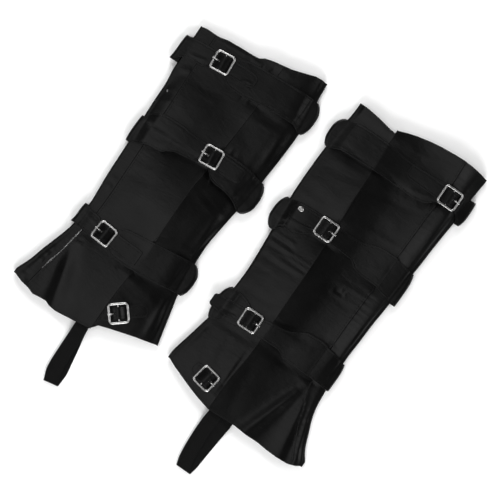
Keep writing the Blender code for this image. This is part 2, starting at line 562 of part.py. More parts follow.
def through_buckle(belt, shin):
    """The tongue's stations with those inside the buckle's frame worked out from its width and turn."""
    slope = math.tan(math.radians(belt.angle))
    inside = []
    for along in BUCKLE_STATIONS:
        x = belt.buckle[0] + shin * along
        middle = belt.buckle[1] + shin * along * slope
        half = TONGUE_WIDTH / 2
        if abs(along) > BUCKLE_SIZE / 2 - 1:
            half += 0.8
        inside.append(Station(x, middle - half, middle + half))
    clear = [row for row in belt.tongue if abs(row.x - belt.buckle[0]) > BUCKLE_SIZE / 2 + 0.5]
    return sorted(clear + inside, key=lambda row: -shin * row.x)


def slot_cells(rows, belt, shin):
    """The rows and columns of a tongue's grid that the prong's slot is left out of."""
    along = shin * (rows[:, 0, 0] - belt.buckle[0])
    last, first = (int(np.abs(along - place).argmin()) for place in SLOT_ROWS)
    return (first, last), (1, 2)


def bar_rise(belt, shin, x, y):
    """The tongue's rise at each point, from its place along the buckle."""
    along, _ = local_place(belt.buckle, belt.angle, shin, x, y)
    return through(along, column(BAR_PASS, "along"), column(BAR_PASS, "rise"))


def tongue_piece(cover, belt, material):
    """The part of a belt that runs through the buckle, with its wide end on the calf side."""
    turn = None if belt.band else belt.calf_turn
    rows = strap_rows(cover, through_buckle(belt, cover.shin), turn, -cover.shin, TONGUE_SHARES)
    x, y = rows[..., 0], rows[..., 1]
    outer = strap_points(cover, x, y, bar_rise(belt, cover.shin, x, y))
    if turn:
        arc = turn_points(cover, turn, -cover.shin, TONGUE_SHARES)
        end = under_point_row(turn, -cover.shin, TONGUE_SHARES, BELT_REACH)
        outer = np.concatenate([outer, arc, end])
    name = f"{cover.name}_strap{belt.number}_tongue"
    wall(name, outer, LEATHER, material, flip=cover.shin < 0, hole=slot_cells(rows, belt, cover.shin))


def band_piece(cover, belt, material):
    """The belt's band under the body, which on two belts also comes up round the calf edge to meet the strap."""
    reach = BELT_REACH + LAP_GAP
    shin_end = under_point_row(belt.shin_turn, cover.shin, BAND_SHARES, reach)
    calf_end = under_point_row(belt.calf_turn, -cover.shin, BAND_SHARES, reach)
    rows = [calf_end, shin_end]
    if belt.band:
        top = strap_rows(cover, belt.band, belt.calf_turn, -cover.shin, BAND_SHARES)
        arc = turn_points(cover, belt.calf_turn, -cover.shin, BAND_SHARES)
        rows = [strap_points(cover, top[..., 0], top[..., 1], 0.0), arc, calf_end, shin_end]
    outer = np.concatenate(rows)
    wall(f"{cover.name}_strap{belt.number}_band", outer, LEATHER, material, flip=cover.shin < 0)


def buckle_frame_matrix(cover, buckle, angle, tilt):
    """Local axes of a buckle: along the strap to the pad, across it, and off the panel."""
    turn = math.radians(angle) if cover.shin > 0 else math.radians(180 + angle)
    reach = BUCKLE_SIZE / 2 - WIRE_WIDE / 2
    along = np.array([math.cos(turn), math.sin(turn)])
    across = np.array([-math.sin(turn), math.cos(turn)])

    def height(direction, distance):
        place = np.array(buckle) + direction * distance
        return float(top_height(cover, np.array([place[0]]), np.array([place[1]]))[0])

    def slope(direction):
        return (height(direction, reach) - height(direction, -reach)) / (2 * reach)

    x_axis = np.array([*along, slope(along) + tilt])
    y_axis = np.array([*across, slope(across)])
    x_axis /= np.linalg.norm(x_axis)
    z_axis = np.cross(x_axis, y_axis)
    z_axis /= np.linalg.norm(z_axis)
    y_axis = np.cross(z_axis, x_axis)
    spot = [(buckle[0] - CENTRE[0]) * MM, (buckle[1] - CENTRE[1]) * MM, height(along, 0.0) * MM]
    matrix = Matrix([[x_axis[i], y_axis[i], z_axis[i], spot[i]] for i in range(3)] + [[0, 0, 0, 1]])
    return matrix


def swept_ring(centre_line, width, height, sides):
    """Points and faces of a closed ring: an oval section carried round a flat closed line."""
    line = np.array(centre_line)
    ahead = np.roll(line, -1, axis=0) - np.roll(line, 1, axis=0)
    ahead /= np.linalg.norm(ahead, axis=1, keepdims=True)
    outward = np.stack([ahead[:, 1], -ahead[:, 0]], -1)
    turn = np.arange(sides) * 2 * math.pi / sides
    flat = line[:, None, :] + outward[:, None, :] * (width / 2 * np.cos(turn))[None, :, None]
    z = np.broadcast_to(height / 2 * np.sin(turn), flat.shape[:2])
    points = np.concatenate([flat, z[..., None]], -1).reshape(-1, 3)
    index = np.arange(len(line) * sides).reshape(len(line), sides)
    next_row, next_side = np.roll(index, -1, axis=0), np.roll(index, -1, axis=1)
    faces = np.stack([index, next_side, np.roll(next_row, -1, axis=1), next_row], -1).reshape(-1, 4)
    return points, faces.tolist()


def rounded_square(half, radius, steps):
    """Points round a square with rounded corners, each corner an arc of the given steps."""
    points = []
    for corner in range(4):
        middle = math.radians(45 + 90 * corner)
        cx = math.copysign(half - radius, math.cos(middle))
        cy = math.copysign(half - radius, math.sin(middle))
        for step in range(steps + 1):
            angle = middle + math.radians(90) * (step / steps - 0.5)
            points.append((cx + radius * math.cos(angle), cy + radius * math.sin(angle)))
    return points


def local_piece(name, points, faces, material, matrix):
    """An object whose points are in a buckle's own axes and which is placed by its location and rotation."""
    piece = add_piece(name, points + np.array([*CENTRE, 0.0]), faces, material)
    piece.matrix_world = matrix
    return piece


def make_bar(name, points, faces, matrix):
    """The guide object that a buckle's frame is joined with."""
    tool = local_piece(name, points, faces, bpy.data.materials["chrome"], matrix)
    tool.hide_render = True
    tool.display_type = "WIRE"
    return tool


def rod(length, diameter, sides, height):
    """Points and faces of a straight bar along the local Y axis."""
    turn = np.arange(sides) * 2 * math.pi / sides
    ring = np.stack([np.cos(turn) * diameter / 2, np.zeros(sides), np.sin(turn) * diameter / 2 + height], -1)
    points = np.concatenate([ring - [0, length / 2, 0], ring + [0, length / 2, 0]])
    faces = [[i, (i + 1) % sides, (i + 1) % sides + sides, i + sides] for i in range(sides)]
    faces += [list(range(sides))[::-1], list(range(sides, 2 * sides))]
    return points, faces


def buckle_piece(cover, label, buckle, angle, tilt, metal):
    """A square frame with rounded corners and a bar across its middle."""
    matrix = buckle_frame_matrix(cover, buckle, angle, tilt)
    line = rounded_square(BUCKLE_SIZE / 2 - WIRE_WIDE / 2, CORNER_RADIUS - WIRE_WIDE / 2, 2)
    points, faces = swept_ring(line, WIRE_WIDE, WIRE_HIGH, 8)
    points[:, 2] += FRAME_HEIGHT
    name = f"{cover.name}_{label}_buckle"
    frame = local_piece(name, points, faces, metal, matrix)
    bar_points, bar_faces = rod(BUCKLE_SIZE - WIRE_WIDE, BAR_DIAMETER, 6, BAR_HEIGHT)
    tool = make_bar(f"bar_{name}", bar_points, bar_faces, matrix)
    join = frame.modifiers.new("bar", "BOOLEAN")
    join.operation = "UNION"
    join.solver = "EXACT"
    join.object = tool
    prong_piece(cover, label, matrix, metal)


def prong_piece(cover, label, matrix, metal):
    """The prong: a flat oval section carried along its bent middle line."""
    line = np.array(PRONG_LINE)
    ahead = np.gradient(line, axis=0)
    ahead /= np.linalg.norm(ahead, axis=1, keepdims=True)
    up = np.stack([-ahead[:, 1], ahead[:, 0]], -1)
    turn = np.arange(6) * math.pi / 3
    taper = np.linspace(1.0, 0.75, len(line))[:, None]
    side = PRONG_WIDE / 2 * np.cos(turn) * taper
    lift = PRONG_HIGH / 2 * np.sin(turn) * np.ones_like(taper)
    points = np.stack([line[:, :1] + up[:, :1] * lift, side, line[:, 1:] + up[:, 1:] * lift], -1).reshape(-1, 3)
    index = np.arange(len(line) * 6).reshape(len(line), 6)
    turned = np.roll(index, -1, axis=1)
    faces = np.stack([index[:-1], turned[:-1], turned[1:], index[1:]], -1).reshape(-1, 4).tolist()
    faces += [index[0].tolist(), index[-1, ::-1].tolist()]
    local_piece(f"{cover.name}_{label}_prong", points, faces, metal, matrix)


def instep_strap(cover, material, metal):
    """The short strap from the seam by the hem through the fourth buckle."""
    strap = cover.instep
    turn = math.radians(strap.angle) if cover.shin > 0 else math.radians(180 + strap.angle)
    along_x, along_y = math.cos(turn), math.sin(turn)
    across_x, across_y = -cover.shin * along_y, cover.shin * along_x
    inner = [place for place in BUCKLE_STATIONS if place < strap.tip - INSTEP_TIP[0].back - 2]
    middle = np.array(inner[1:] + [strap.tip - row.back for row in INSTEP_TIP])
    narrowing = np.array([1.0] * len(inner) + [row.width for row in INSTEP_TIP])
    share = np.array(TONGUE_SHARES)
    across = (share - 0.5)[None, :] * strap.width * narrowing[:, None]
    start = (strap.seam_x - strap.buckle[0] - across_x * across[0]) / along_x
    start = np.minimum(start, inner[1] - 1.5)
    along = np.concatenate([start[None, :], np.repeat(middle[:, None], len(share), axis=1)])
    x = strap.buckle[0] + along_x * along + across_x * across
    y = strap.buckle[1] + along_y * along + across_y * across
    rise = through(along, column(BAR_PASS, "along"), column(BAR_PASS, "rise"))
    rise -= PAD_LIFT * smooth_step((along - 2.0) / 8.0)
    outer = strap_points(cover, x, y, rise)
    slot = tuple(int(np.abs(middle - place).argmin()) + 1 for place in SLOT_ROWS)
    wall(f"{cover.name}_instep_strap", outer, LEATHER, material, flip=cover.shin > 0, hole=(slot, (1, 2)))
    buckle_piece(cover, "instep", strap.buckle, strap.angle, 0.0, metal)


def stirrup_piece(cover, material):
    """The folded elastic loop: its upper layer comes from inside the hem, turns at the fold and goes back below."""
    down = cover.stirrup
    share = np.linspace(0, 1, 4)[None, :]
    upper_left, upper_right = column(down, "upper_left")[:, None], column(down, "upper_right")[:, None]
    lower_left, lower_right = column(down, "lower_left")[:, None], column(down, "lower_right")[:, None]
    y = column(down, "y")[:, None]
    upper_x = upper_left + share * (upper_right - upper_left)
    lower_x = lower_left + share * (lower_right - lower_left)
    thick = 2 * ELASTIC + SEAM_GAP
    over_under_panel = UNDER_Z + LEATHER + SEAM_GAP
    upper_z = np.array([[6.9], [6.2], [4.2], [3.0], [thick], [thick], [thick]])
    lower_z = np.array([[over_under_panel], [over_under_panel], [1.2], [0.2], [0.0], [0.0], [0.0]])
    slant = (share - 0.5) * (4.0 if cover.shin > 0 else 0.0)
    slants = np.linspace(0, 1, len(down))[:, None] ** 4 * slant
    upper = np.stack(np.broadcast_arrays(upper_x, y + slants, upper_z), -1)
    lower = np.stack(np.broadcast_arrays(lower_x, y + slants, lower_z), -1)
    fold = []
    for step in (0.25, 0.5, 0.75):
        angle = math.pi * step
        row = upper[-1] * 1.0
        row[:, 1] -= math.sin(angle) * thick / 2
        row[:, 2] = thick / 2 + math.cos(angle) * thick / 2
        fold.append(row[None])
    outer = np.concatenate([upper, *fold, lower[::-1]])
    wall(f"{cover.name}_stirrup", outer, ELASTIC, material, flip=True)


def build_cover(cover, leather, elastic, metal):
    """All the pieces of one cover."""
    wide_panel(cover, leather)
    shin_end = side_piece(cover, "narrow_panel", "seam", "shin_edge", cover.shin, 8,
                          (cover.narrow_top, cover.narrow_hem), leather)
    calf_end = side_piece(cover, "closure_strip", "closure", "calf_edge", -cover.shin, 4,
                          (cover.wide_top, cover.wide_hem), leather)
    under_panel(cover, calf_end, shin_end, leather)
    for belt in cover.belts:
        pad_piece(cover, belt, leather)
        tongue_piece(cover, belt, leather)
        band_piece(cover, belt, leather)
        buckle_piece(cover, f"strap{belt.number}", belt.buckle, belt.angle, FRAME_TILT, metal)
    instep_strap(cover, leather, metal)
    stirrup_piece(cover, elastic)


def main():
    """Clears the scene and builds the pair."""
    for old in list(bpy.data.objects):
        bpy.data.objects.remove(old, do_unlink=True)
    leather = make_material("black_leather_cloth", (0.012, 0.012, 0.013), 0.45, 0.0)
    elastic = make_material("black_elastic", (0.014, 0.014, 0.015), 0.8, 0.0)
    metal = make_material("chrome", (0.8, 0.8, 0.82), 0.15, 1.0)
    for cover in (LEFT, RIGHT):
        build_cover(cover, leather, elastic, metal)


main()
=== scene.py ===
"""Looks of the pair of buckled boot covers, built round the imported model.

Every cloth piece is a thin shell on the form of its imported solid, with rounded edges, sewn grooves, stitching and
creases. The buckles are finer rings on the same places. The tables are those that the solids were made from:
millimetres, +Y from hem to top, +X across the pair and +Z up from the table, measured from CENTRE.
"""
import math
from collections import namedtuple

import bpy
import numpy as np
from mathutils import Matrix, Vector


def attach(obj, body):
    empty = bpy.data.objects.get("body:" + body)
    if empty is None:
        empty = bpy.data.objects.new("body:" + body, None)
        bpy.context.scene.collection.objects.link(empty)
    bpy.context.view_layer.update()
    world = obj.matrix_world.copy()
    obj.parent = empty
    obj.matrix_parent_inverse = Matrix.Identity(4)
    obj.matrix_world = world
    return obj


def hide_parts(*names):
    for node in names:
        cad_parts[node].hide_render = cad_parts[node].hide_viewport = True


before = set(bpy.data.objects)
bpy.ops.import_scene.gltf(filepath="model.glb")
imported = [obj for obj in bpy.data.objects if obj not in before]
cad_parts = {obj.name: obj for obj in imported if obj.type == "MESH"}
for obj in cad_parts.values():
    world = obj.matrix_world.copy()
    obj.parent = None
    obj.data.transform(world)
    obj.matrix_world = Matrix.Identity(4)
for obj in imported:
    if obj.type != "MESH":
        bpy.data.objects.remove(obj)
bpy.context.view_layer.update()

MM = 0.001

# Driving sizes
LEATHER = 1.2            # wall of every leather piece
ELASTIC = 1.2            # wall of the stirrup
LAP_GAP = 0.35           # between a piece and the next one along a belt
SEAT_GAP = 0.6           # from a strap down to the panel below it
UNDER_Z = 1.5            # underside of the body, which lies on the belts' bands
FOLD_RADIUS = 2.6        # outer radius of the body's rounded side edges
EDGE_HEIGHT = UNDER_Z + 2 * FOLD_RADIUS      # of the top surface where it begins to turn round a side edge
LOOP_RADIUS = 4.3        # outer radius of a belt's turn round the side
UNDER_LAP = 12.0         # how far a side piece runs on under the body
BELT_REACH = 24.0        # how far a belt's pad or tongue strap runs on under the body
CLOSURE_HEIGHT = 8.2     # height of the top surface at the closure line
SHIN_FULLNESS = 0.74     # share of the crest's rise left halfway across the narrow panel
LOWEST_VALLEY = 4.6      # lowest the top surface may dip in a fold
LOOP_CLEARANCE = 2.2     # least distance of a belt's turn outside the body's edge
TONGUE_WIDTH = 19.2      # tongue inside the buckle's frame
TONGUE_FLARE = 0.8       # how much wider it is, on each side, where it enters the frame
BAR_LIFT = 4.5           # rise of the tongue over the buckle's bar
PAD_LIFT = 1.8           # rise of the tongue where it lies on the pad
CENTRE = (-0.35, -3.77)  # middle of the pair's footprint

BUCKLE_SIZE = 27.6       # outer width of the square frame
WIRE_WIDE = 3.0
WIRE_HIGH = 2.4
WIRE_REACH = (BUCKLE_SIZE - WIRE_WIDE) / 2   # from the frame's middle to the middle of its wire
CORNER_RADIUS = 5.2      # outer corners of the frame
BAR_DIAMETER = 1.8
FRAME_HEIGHT = 4.5       # middle of the frame above the panel
BAR_HEIGHT = 3.7         # middle of the bar above the panel
FRAME_TILT = 0.085       # the frame's rise towards the pad, as a slope
PRONG_WIDE = 2.2
PRONG_HIGH = 1.3
PRONG_TAPER = 0.75       # share of its width that is left near the tip
PRONG_TIP = 1.25         # length of its rounded tip, of which the last bit is cut off
PRONG_CUT = 0.05
PRONG_END = 0.3          # share of its height that is left at the tip

# How fine the surfaces are, in columns or rows between the fine ones along the edges
WIDE_COLUMNS = 64
NARROW_COLUMNS = 34
STRIP_COLUMNS = 8
UNDER_COLUMNS = 26
PANEL_ROWS = 180
PANEL_ROUNDS = 4         # how often a panel's rows and columns are worked out again
STRAP_COLUMNS = 10
STRAP_STEP = 1.5         # between two rows of a strap
STRAP_ENDS = (0.0, 0.15, 0.4, 0.8, 1.4, 2.1)                               # rows in from its ends
ARC_STEPS = 12           # round a side edge
UNDER_STEPS = 8          # of a belt's run under the body
BAND_STEPS = 40
EDGE_STEPS = (0.0, 0.08, 0.22, 0.45, 0.9, 1.5, 2.1, 2.7, 3.3, 4.0, 4.8)    # columns in from an edge
NARROWEST = 2.6          # the narrowest piece that keeps these, as a multiple of the last of them
STIRRUP_ROWS = 90
STIRRUP_COLUMNS = 26
STIRRUP_ARC_STEPS = 11   # round the stirrup's fold
TAPE_COLUMNS = 9
TAPE_ROWS = 60
SPECK_ROWS = 12
CORNER_STEPS = 10        # round a corner of a buckle's frame
WIRE_SIDES = 18
BAR_RINGS = 9
PRONG_RINGS = 36
PRONG_SIDES = 12
STITCH_RINGS = 5
STITCH_SIDES = 6
EYELET_STEPS = 40
EYELET_SIDES = 10

# Walls and stitches
STEEPEST_DROP = 1.35     # most that a wall grows on a slope, as a multiple of its thickness
EDGE_ROLL = 0.35         # how far in from its edge a wall is rounded
EDGE_CLOSING = 0.48      # share of the wall by which each face closes in at the edge itself
RIM_RUN = 0.5            # how far in from an edge the cut leather is dull
WEAR_RUN = 1.3           # how far in from an edge the leather is rubbed
STITCH_COLUMN = 7        # the one of EDGE_STEPS that the topstitching follows
STITCH_INSET = 2.7
STITCH_GROOVE = 0.09     # how deep the topstitching pulls the leather in
GROOVE_WIDE = 0.55
STITCH_LENGTH = 2.9
STITCH_PITCH = 3.7
STITCH_WIDE = 0.55
STITCH_THINNING = 0.55   # share of its width that a stitch loses at its ends
STITCH_RISE = 0.3        # how far a stitch's middle stands over its ends
STITCH_SUNK = 0.1        # how deep its ends lie in the leather
STRAIGHT_SHARE = 0.95    # a stitch is left out where its line bends more than this

# Finer form of the leather
LAP = 1.45               # how high the upper panel stands at a lapped seam
LAP_RUN = 13.0
TUCK = 0.8               # how far the lower panel runs on under it
RIDGE_RUN = 20.0         # over what distance the ridge along the seam dies away
SCENE_GAP = 0.06         # left between two panels that meet edge to edge
STRIP_RUN = 9.0          # how far the closure strip's drop reaches
PUCKER_PITCH = 8.2       # of the ripples along the closure line
PUCKER_WIDE = 2.6        # how far they reach on the panel
PUCKER_LONG = 14.0       # and on the strip
PUCKER_STRIP = 0.5       # their height there, as a share of that on the panel
PUCKER_DRIFT = 23.0      # over what length their pitch changes
PUCKER_SWELL = 31.0      # and their height
PUCKER_UNEVEN = 0.4      # share of their height that comes and goes
SIDE_FADE = 7.0          # how far in from a rounded side edge the folds and creases are full
SIDE_BEGUN = 0.1         # share of that run already past, for creases, where the edge begins to turn
EDGE_SWELL = 5.0         # how far in from a rounded side edge a swell is full
BELT_EDGE_SWELL = 15.0   # and a belt's own swell
BELT_SHADE = 12.0        # how far from a belt the leather rises to its full height
FOLD_START = 0.45        # share of a fold's length over which it grows to its full rise
CREASE_END = 0.3         # share of a crease's length over which it fades at each end
CREASE_BEGUN = 0.35      # share of that run already past at the end itself
TURN_FULLNESS = 2.6      # power of the outline of a belt's turn: 2 is round, more is squarer
TURN_DEPTH = 1.3         # the same in the direction away from the body
UNDER_HOLLOW = 0.35      # how deep the under panel's creases are
HOLLOW_PITCH_X = 41.0
HOLLOW_PITCH_Y = 17.0
INSTEP_SETTLES = 4.0     # how far before its slot an instep strap has turned square from the seam
INSTEP_DROP = 2.0        # where beyond its bar it begins to come down to the panel
INSTEP_DROP_RUN = 8.0    # and over what length
STIRRUP_SLANT = 4.0      # how much lower the left stirrup's fold hangs at one corner
TAPE_LIFT = 0.45         # top of the pale tape edge above the panel
TAPE_THICK = 0.5
TAPE_RAGGED = 0.35       # how far its edge strays, in two waves
TAPE_WAVES = (1.9, 0.7)
TAPE_ROUGH = 0.12        # how uneven its top is, in waves across and along it
TAPE_BUMPS = (2.3, 1.1)

# A section across the body: where its edges and seams lie, and how high its crest and its middle stand
Section = namedtuple("Section", "y calf_edge closure seam shin_edge crest middle")
# One point of a panel's cut edge at the top or at the hem, read across the cover
Edge = namedtuple("Edge", "x y")
# A fold of the flare: a line from its faint end to the hem, its half widths and its rise there, and how many times
# its half width it takes to ease down on one side
Fold = namedtuple("Fold", "x0 y0 x1 y1 wide0 wide1 rise ease")
# A station along a strap: the strap's lower and upper edge at x
Station = namedtuple("Station", "x low high")
# The turn of a strap round the side: the outline at its lower edge, middle and upper edge, and those edges' y
Turn = namedtuple("Turn", "low middle high y_low y_high")
# A belt: its buckle's middle and angle, the turns round both sides, and the stations of its pad, of its tongue
# strap, and of its band where that comes up round the calf edge
Belt = namedtuple("Belt", "number buckle angle shin_turn calf_turn pad tongue band", defaults=[()])
# An instep strap: its buckle, the strap's direction, where it starts at the seam and where its tip ends
Instep = namedtuple("Instep", "buckle angle width seam_x tip")
# A section of the stirrup: left and right edges of its upper and lower layer
Layer = namedtuple("Layer", "y upper_left upper_right lower_left lower_right")
# How far the leather rises along the seam at y, or drops beside the closure line
Ridge = namedtuple("Ridge", "y rise")
# A crease of the leather: a line with a bow at its middle, its half width and its rise, on the body (0) or a belt
Crease = namedtuple("Crease", "on x0 y0 x1 y1 bow wide rise")
# A broad swell of the body (0), a belt (1 to 3) or its band (11 to 13): its middle, how far it reaches on each of
# its four sides, and its rise
Swell = namedtuple("Swell", "on x y left right below above rise")
# One cover: its shin edge faces +X (1) or -X (-1). At each lap the wide panel lies on top (1), below (-1) or edge to
# edge (0) with the next piece. The pucker is the height of the ripples along the closure line.
Cover = namedtuple("Cover", "name shin seam_lap closure_lap pucker sections wide_top narrow_top wide_hem narrow_hem "
                            "folds belts instep stirrup ridges drops creases swells")


def rows(kind, *values):
    """A table: the values of each row under the kind's named columns."""
    return [kind(*row) for row in values]


LEFT = Cover(
    "left", shin=1, seam_lap=1, closure_lap=0, pucker=0.05,
    sections=rows(
        Section, (250, -207.5, -184, -89.5, -33, 9.6, 8.6), (213, -206.9, -184, -89.5, -30, 11, 9.8),
        (180, -206, -184, -89.2, -25.5, 12.6, 11), (150, -204.8, -183.5, -89.1, -24.8, 13.4, 11.8),
        (125, -202.1, -182.5, -90, -25.6, 13.5, 12), (100, -201.6, -181.5, -91.5, -26.8, 13, 11.6),
        (75, -200.5, -181, -93, -28.5, 12.8, 11.6), (45, -198.6, -180, -95.5, -32, 13.6, 12.6),
        (20, -197.6, -179.5, -97.3, -34.7, 14.4, 13.6), (-5, -196.8, -179, -97.2, -37.6, 14.6, 13.8),
        (-30, -195, -178.5, -96.8, -39.5, 13.8, 12.8), (-52, -193.6, -179, -96.3, -39, 12.8, 11.4),
        (-75, -194.5, -180.5, -96.8, -36, 12.4, 10.8), (-92, -196.8, -182.2, -97.5, -34.4, 12.3, 10.6),
        (-106, -200, -184.8, -98.5, -33.2, 12.2, 10.4), (-120, -204, -188, -99.5, -30.3, 12, 10.2),
        (-138, -209.8, -192, -100.5, -26.3, 11.6, 9.8), (-157, -214.8, -196, -100.8, -22.3, 11, 9.4),
        (-180, -222.9, -200, -100.8, -17, 10, 9)),
    wide_top=rows(
        Edge, (-208, 213), (-198, 215.2), (-180, 215.4), (-168, 218.4), (-150, 220), (-131, 221), (-119.5, 222.7),
        (-116.5, 226.4), (-104, 230), (-90, 232.6)),
    narrow_top=rows(Edge, (-90, 232.6), (-80, 234.4), (-64, 239.7), (-49.6, 244.8), (-40, 245.8), (-32, 245)),
    wide_hem=rows(
        Edge, (-223, -180.5), (-208, -185.6), (-197, -187.2), (-187, -190.4), (-176, -188.8), (-168, -188),
        (-161.6, -190.9), (-150.4, -192), (-136, -189.9), (-122, -188), (-101, -184.6)),
    narrow_hem=rows(Edge, (-101, -177.6), (-80, -170.4), (-64, -165.6), (-48, -160.8), (-32, -156.8), (-20, -153.5)),
    folds=rows(Fold, (-181, -106, -158, -189, 5.5, 9, -3, 1.7)),
    belts=[
        Belt(1, (-156.8, 190.9), 6,
             shin_turn=Turn(-23, -16.5, -26.8, 172, 218.2), calf_turn=Turn(-217.4, -216.4, -215.2, 158, 194.5),
             pad=rows(
                 Station, (-155.8, 181.2, 200.6), (-147, 180, 203.5), (-142, 175.2, 206), (-137.6, 171.2, 209),
                 (-129.6, 169.6, 212), (-112, 169.8, 214.5), (-99, 172, 215.5), (-80, 175.2, 217),
                 (-56, 176.8, 218.5), (-38, 177.6, 219)),
             tongue=rows(
                 Station, (-107.2, 189.5, 197.5), (-109, 186.2, 200.4), (-114, 184.2, 202.6), (-128, 182.8, 203),
                 (-140, 182, 202), (-172, 174.4, 199.6), (-180, 171.4, 199), (-192, 171.2, 198), (-200, 169.4, 197),
                 (-207, 165, 196))),
        Belt(2, (-99.2, 84), 6,
             shin_turn=Turn(-29.4, -17, -25.4, 45, 93.5), calf_turn=Turn(-202.6, -204.2, -203, 39, 77.5),
             pad=rows(
                 Station, (-98.2, 74, 94), (-91, 66, 98), (-84.8, 60, 99), (-78, 58, 99.5), (-64, 57.2, 99.5),
                 (-51.2, 54.8, 98.5), (-43, 51.6, 97)),
             tongue=rows(
                 Station, (-51.5, 79, 91.5), (-53.5, 75.6, 94.2), (-58, 73.6, 95.6), (-72, 73, 95.4),
                 (-84, 73.6, 94.8), (-114, 67.4, 95), (-120, 65.6, 95), (-130, 64, 94.6), (-141, 62.4, 95),
                 (-150.4, 57.4, 96), (-158, 52, 96), (-176, 49.6, 95), (-187, 44.6, 91), (-195, 41.6, 86))),
        Belt(3, (-155.2, -75), -4,
             shin_turn=Turn(-31, -24.8, -36.8, -84.6, -40.6), calf_turn=Turn(-201.5, -199.6, -198.2, -85, -56),
             pad=rows(
                 Station, (-154.2, -85, -65), (-148, -86.5, -62.5), (-143, -88, -58.8), (-137.6, -90.4, -54.8),
                 (-129.6, -93.6, -52.4), (-116, -94, -50.4), (-96, -92.4, -47.6), (-80, -90.8, -45.5),
                 (-64, -89.2, -43.4), (-50, -86.6, -41.8)),
             tongue=rows(
                 Station, (-101.2, -86.4, -67.4), (-104, -87.8, -66), (-112, -87.8, -65.6), (-130, -86.8, -65.2),
                 (-140, -86, -65), (-171, -86.4, -61.4), (-177, -86.4, -60), (-187, -86.2, -59)))],
    instep=Instep((-82.6, -147.6), 40, 16, -99.9, 38),
    stirrup=rows(
        Layer, (-176, -121.5, -104.5, -120.5, -103.5), (-190, -121.4, -104, -120.5, -102.6),
        (-200, -121, -102.8, -120.2, -101.2), (-212, -120.6, -101.6, -119, -98.8), (-236, -120, -100, -116.5, -94.6),
        (-254, -118.6, -98.2, -114.4, -92), (-269.8, -112.8, -92.6, -112.8, -92.6)),
    ridges=rows(Ridge, (-190, 0), (-100, 0.1), (-30, 1.8), (20, 2), (60, 0.8), (100, 0.2), (180, 0.2), (250, 0.4)),
    drops=rows(Ridge, (-190, 0.7), (-92, 0.7), (-76, 0.05), (250, 0.05)),
    creases=rows(
        Crease, (0, -94, 44, -36, 30, 3, 3, -0.3), (0, -92, 36, -40, 22, 2, 3.4, 0.25),
        (0, -96, -36, -44, -32, -2, 4.2, 0.3), (0, -178, 150, -120, 158, 3, 5.5, -0.15),
        (0, -200, 153, -184, 160, 1, 4, 0.45), (0, -200, 122, -186, 131, 1, 4, 0.4),
        (0, -199, 108, -182, 114, 2, 4.5, 0.45), (0, -182, 140, -132, 142, -2, 5, 0.15),
        (0, -88, 150, -34, 158, -3, 4.5, 0.2), (0, -86, 128, -32, 120, 3, 6, -0.2),
        (0, -176, 118, -140, 108, 2, 5.5, 0.15), (0, -180, 20, -150, 26, 1, 4, 0.15),
        (0, -178, 4, -146, 10, -1, 4.4, -0.15), (0, -196, -26, -182, -20, -1, 3.6, 0.45),
        (0, -196, -8, -180, -14, -1, 4, 0.3), (0, -96, -104, -42, -116, -3, 6, 0.3),
        (0, -94, -124, -44, -138, -2, 5, -0.3), (0, -44, -96, -38, -152, 1, 3.2, 0.5),
        (0, -178, 212, -110, 217, -1, 2.6, 0.3), (0, -84, 222, -38, 238, 2, 3.4, 0.3),
        (0, -204, -122, -198, -128, 0, 2.6, 0.5), (0, -207, -134, -199, -138, 0, 2.8, 0.6),
        (0, -208, -146, -200, -148, 0, 2.6, 0.5), (0, -180, -96, -171, -93, 0, 2.2, 0.4),
        (0, -180, -104, -170, -103, 0, 2.4, 0.45), (0, -214, -174, -204, -186, 0, 4, 0.5),
        (2, -81, 71, -56, 74, -1, 1.6, -0.4), (2, -170, 58, -152, 70, 2, 3, 0.3), (2, -54, 60, -30, 73, 2, 4, 0.7),
        (2, -46, 88, -36, 96, 1, 3, 0.4), (1, -60, 184, -34, 188, 1, 2.4, -0.35),
        (1, -196, 176, -176, 182, 1, 2.4, 0.35), (1, -128, 181, -112, 190, -2, 2, 0.35),
        (3, -66, -80, -42, -76, 1, 2.2, -0.35), (3, -190, -66, -170, -70, 1, 2.2, 0.3),
        (3, -138, -61, -104, -57, 1, 2.2, -0.3)),
    swells=rows(
        Swell, (0, -115, 68, 105, 85, 19, 5, -3.2), (0, -104, -5, 42, 60, 36, 30, 1.6),
        (0, -92, 135, 75, 45, 34, 34, -2.6), (0, -182, 120, 12, 62, 60, 32, 3.6), (0, -90, 262, 70, 70, 26, 10, 3),
        (0, -38, 243, 7, 5, 16, 10, 1.4), (0, -37, 135, 9, 6, 36, 34, 2.2), (0, -44, 135, 30, 8, 36, 34, 1.5),
        (0, -46, 0, 9, 6, 40, 34, 2.4), (0, -52, 4, 30, 8, 44, 40, 2.3), (0, -35, -125, 9, 6, 34, 30, 1.7),
        (0, -42, -125, 26, 6, 34, 30, 0.6), (0, -168, -98, 9, 9, 14, 7, 0.7), (0, -152, -140, 40, 60, 40, 44, 2.2),
        (0, -203, -168, 9, 12, 20, 26, 0.8), (0, -70, -92, 40, 30, 9, 4, -1), (0, -70, 168, 34, 30, 10, 4, -1),
        (0, -70, 103, 30, 30, 5, 14, -0.6), (0, -100, 176, 45, 36, 26, 6, -1.2), (1, -40, 200, 42, 9, 60, 60, 3.8),
        (2, -40, 78, 40, 9, 60, 60, 4), (2, -194, 70, 10, 70, 60, 60, 3.2), (3, -192, -72, 10, 60, 60, 60, 1.2),
        (3, -46, -68, 32, 8, 60, 60, 2.6)))

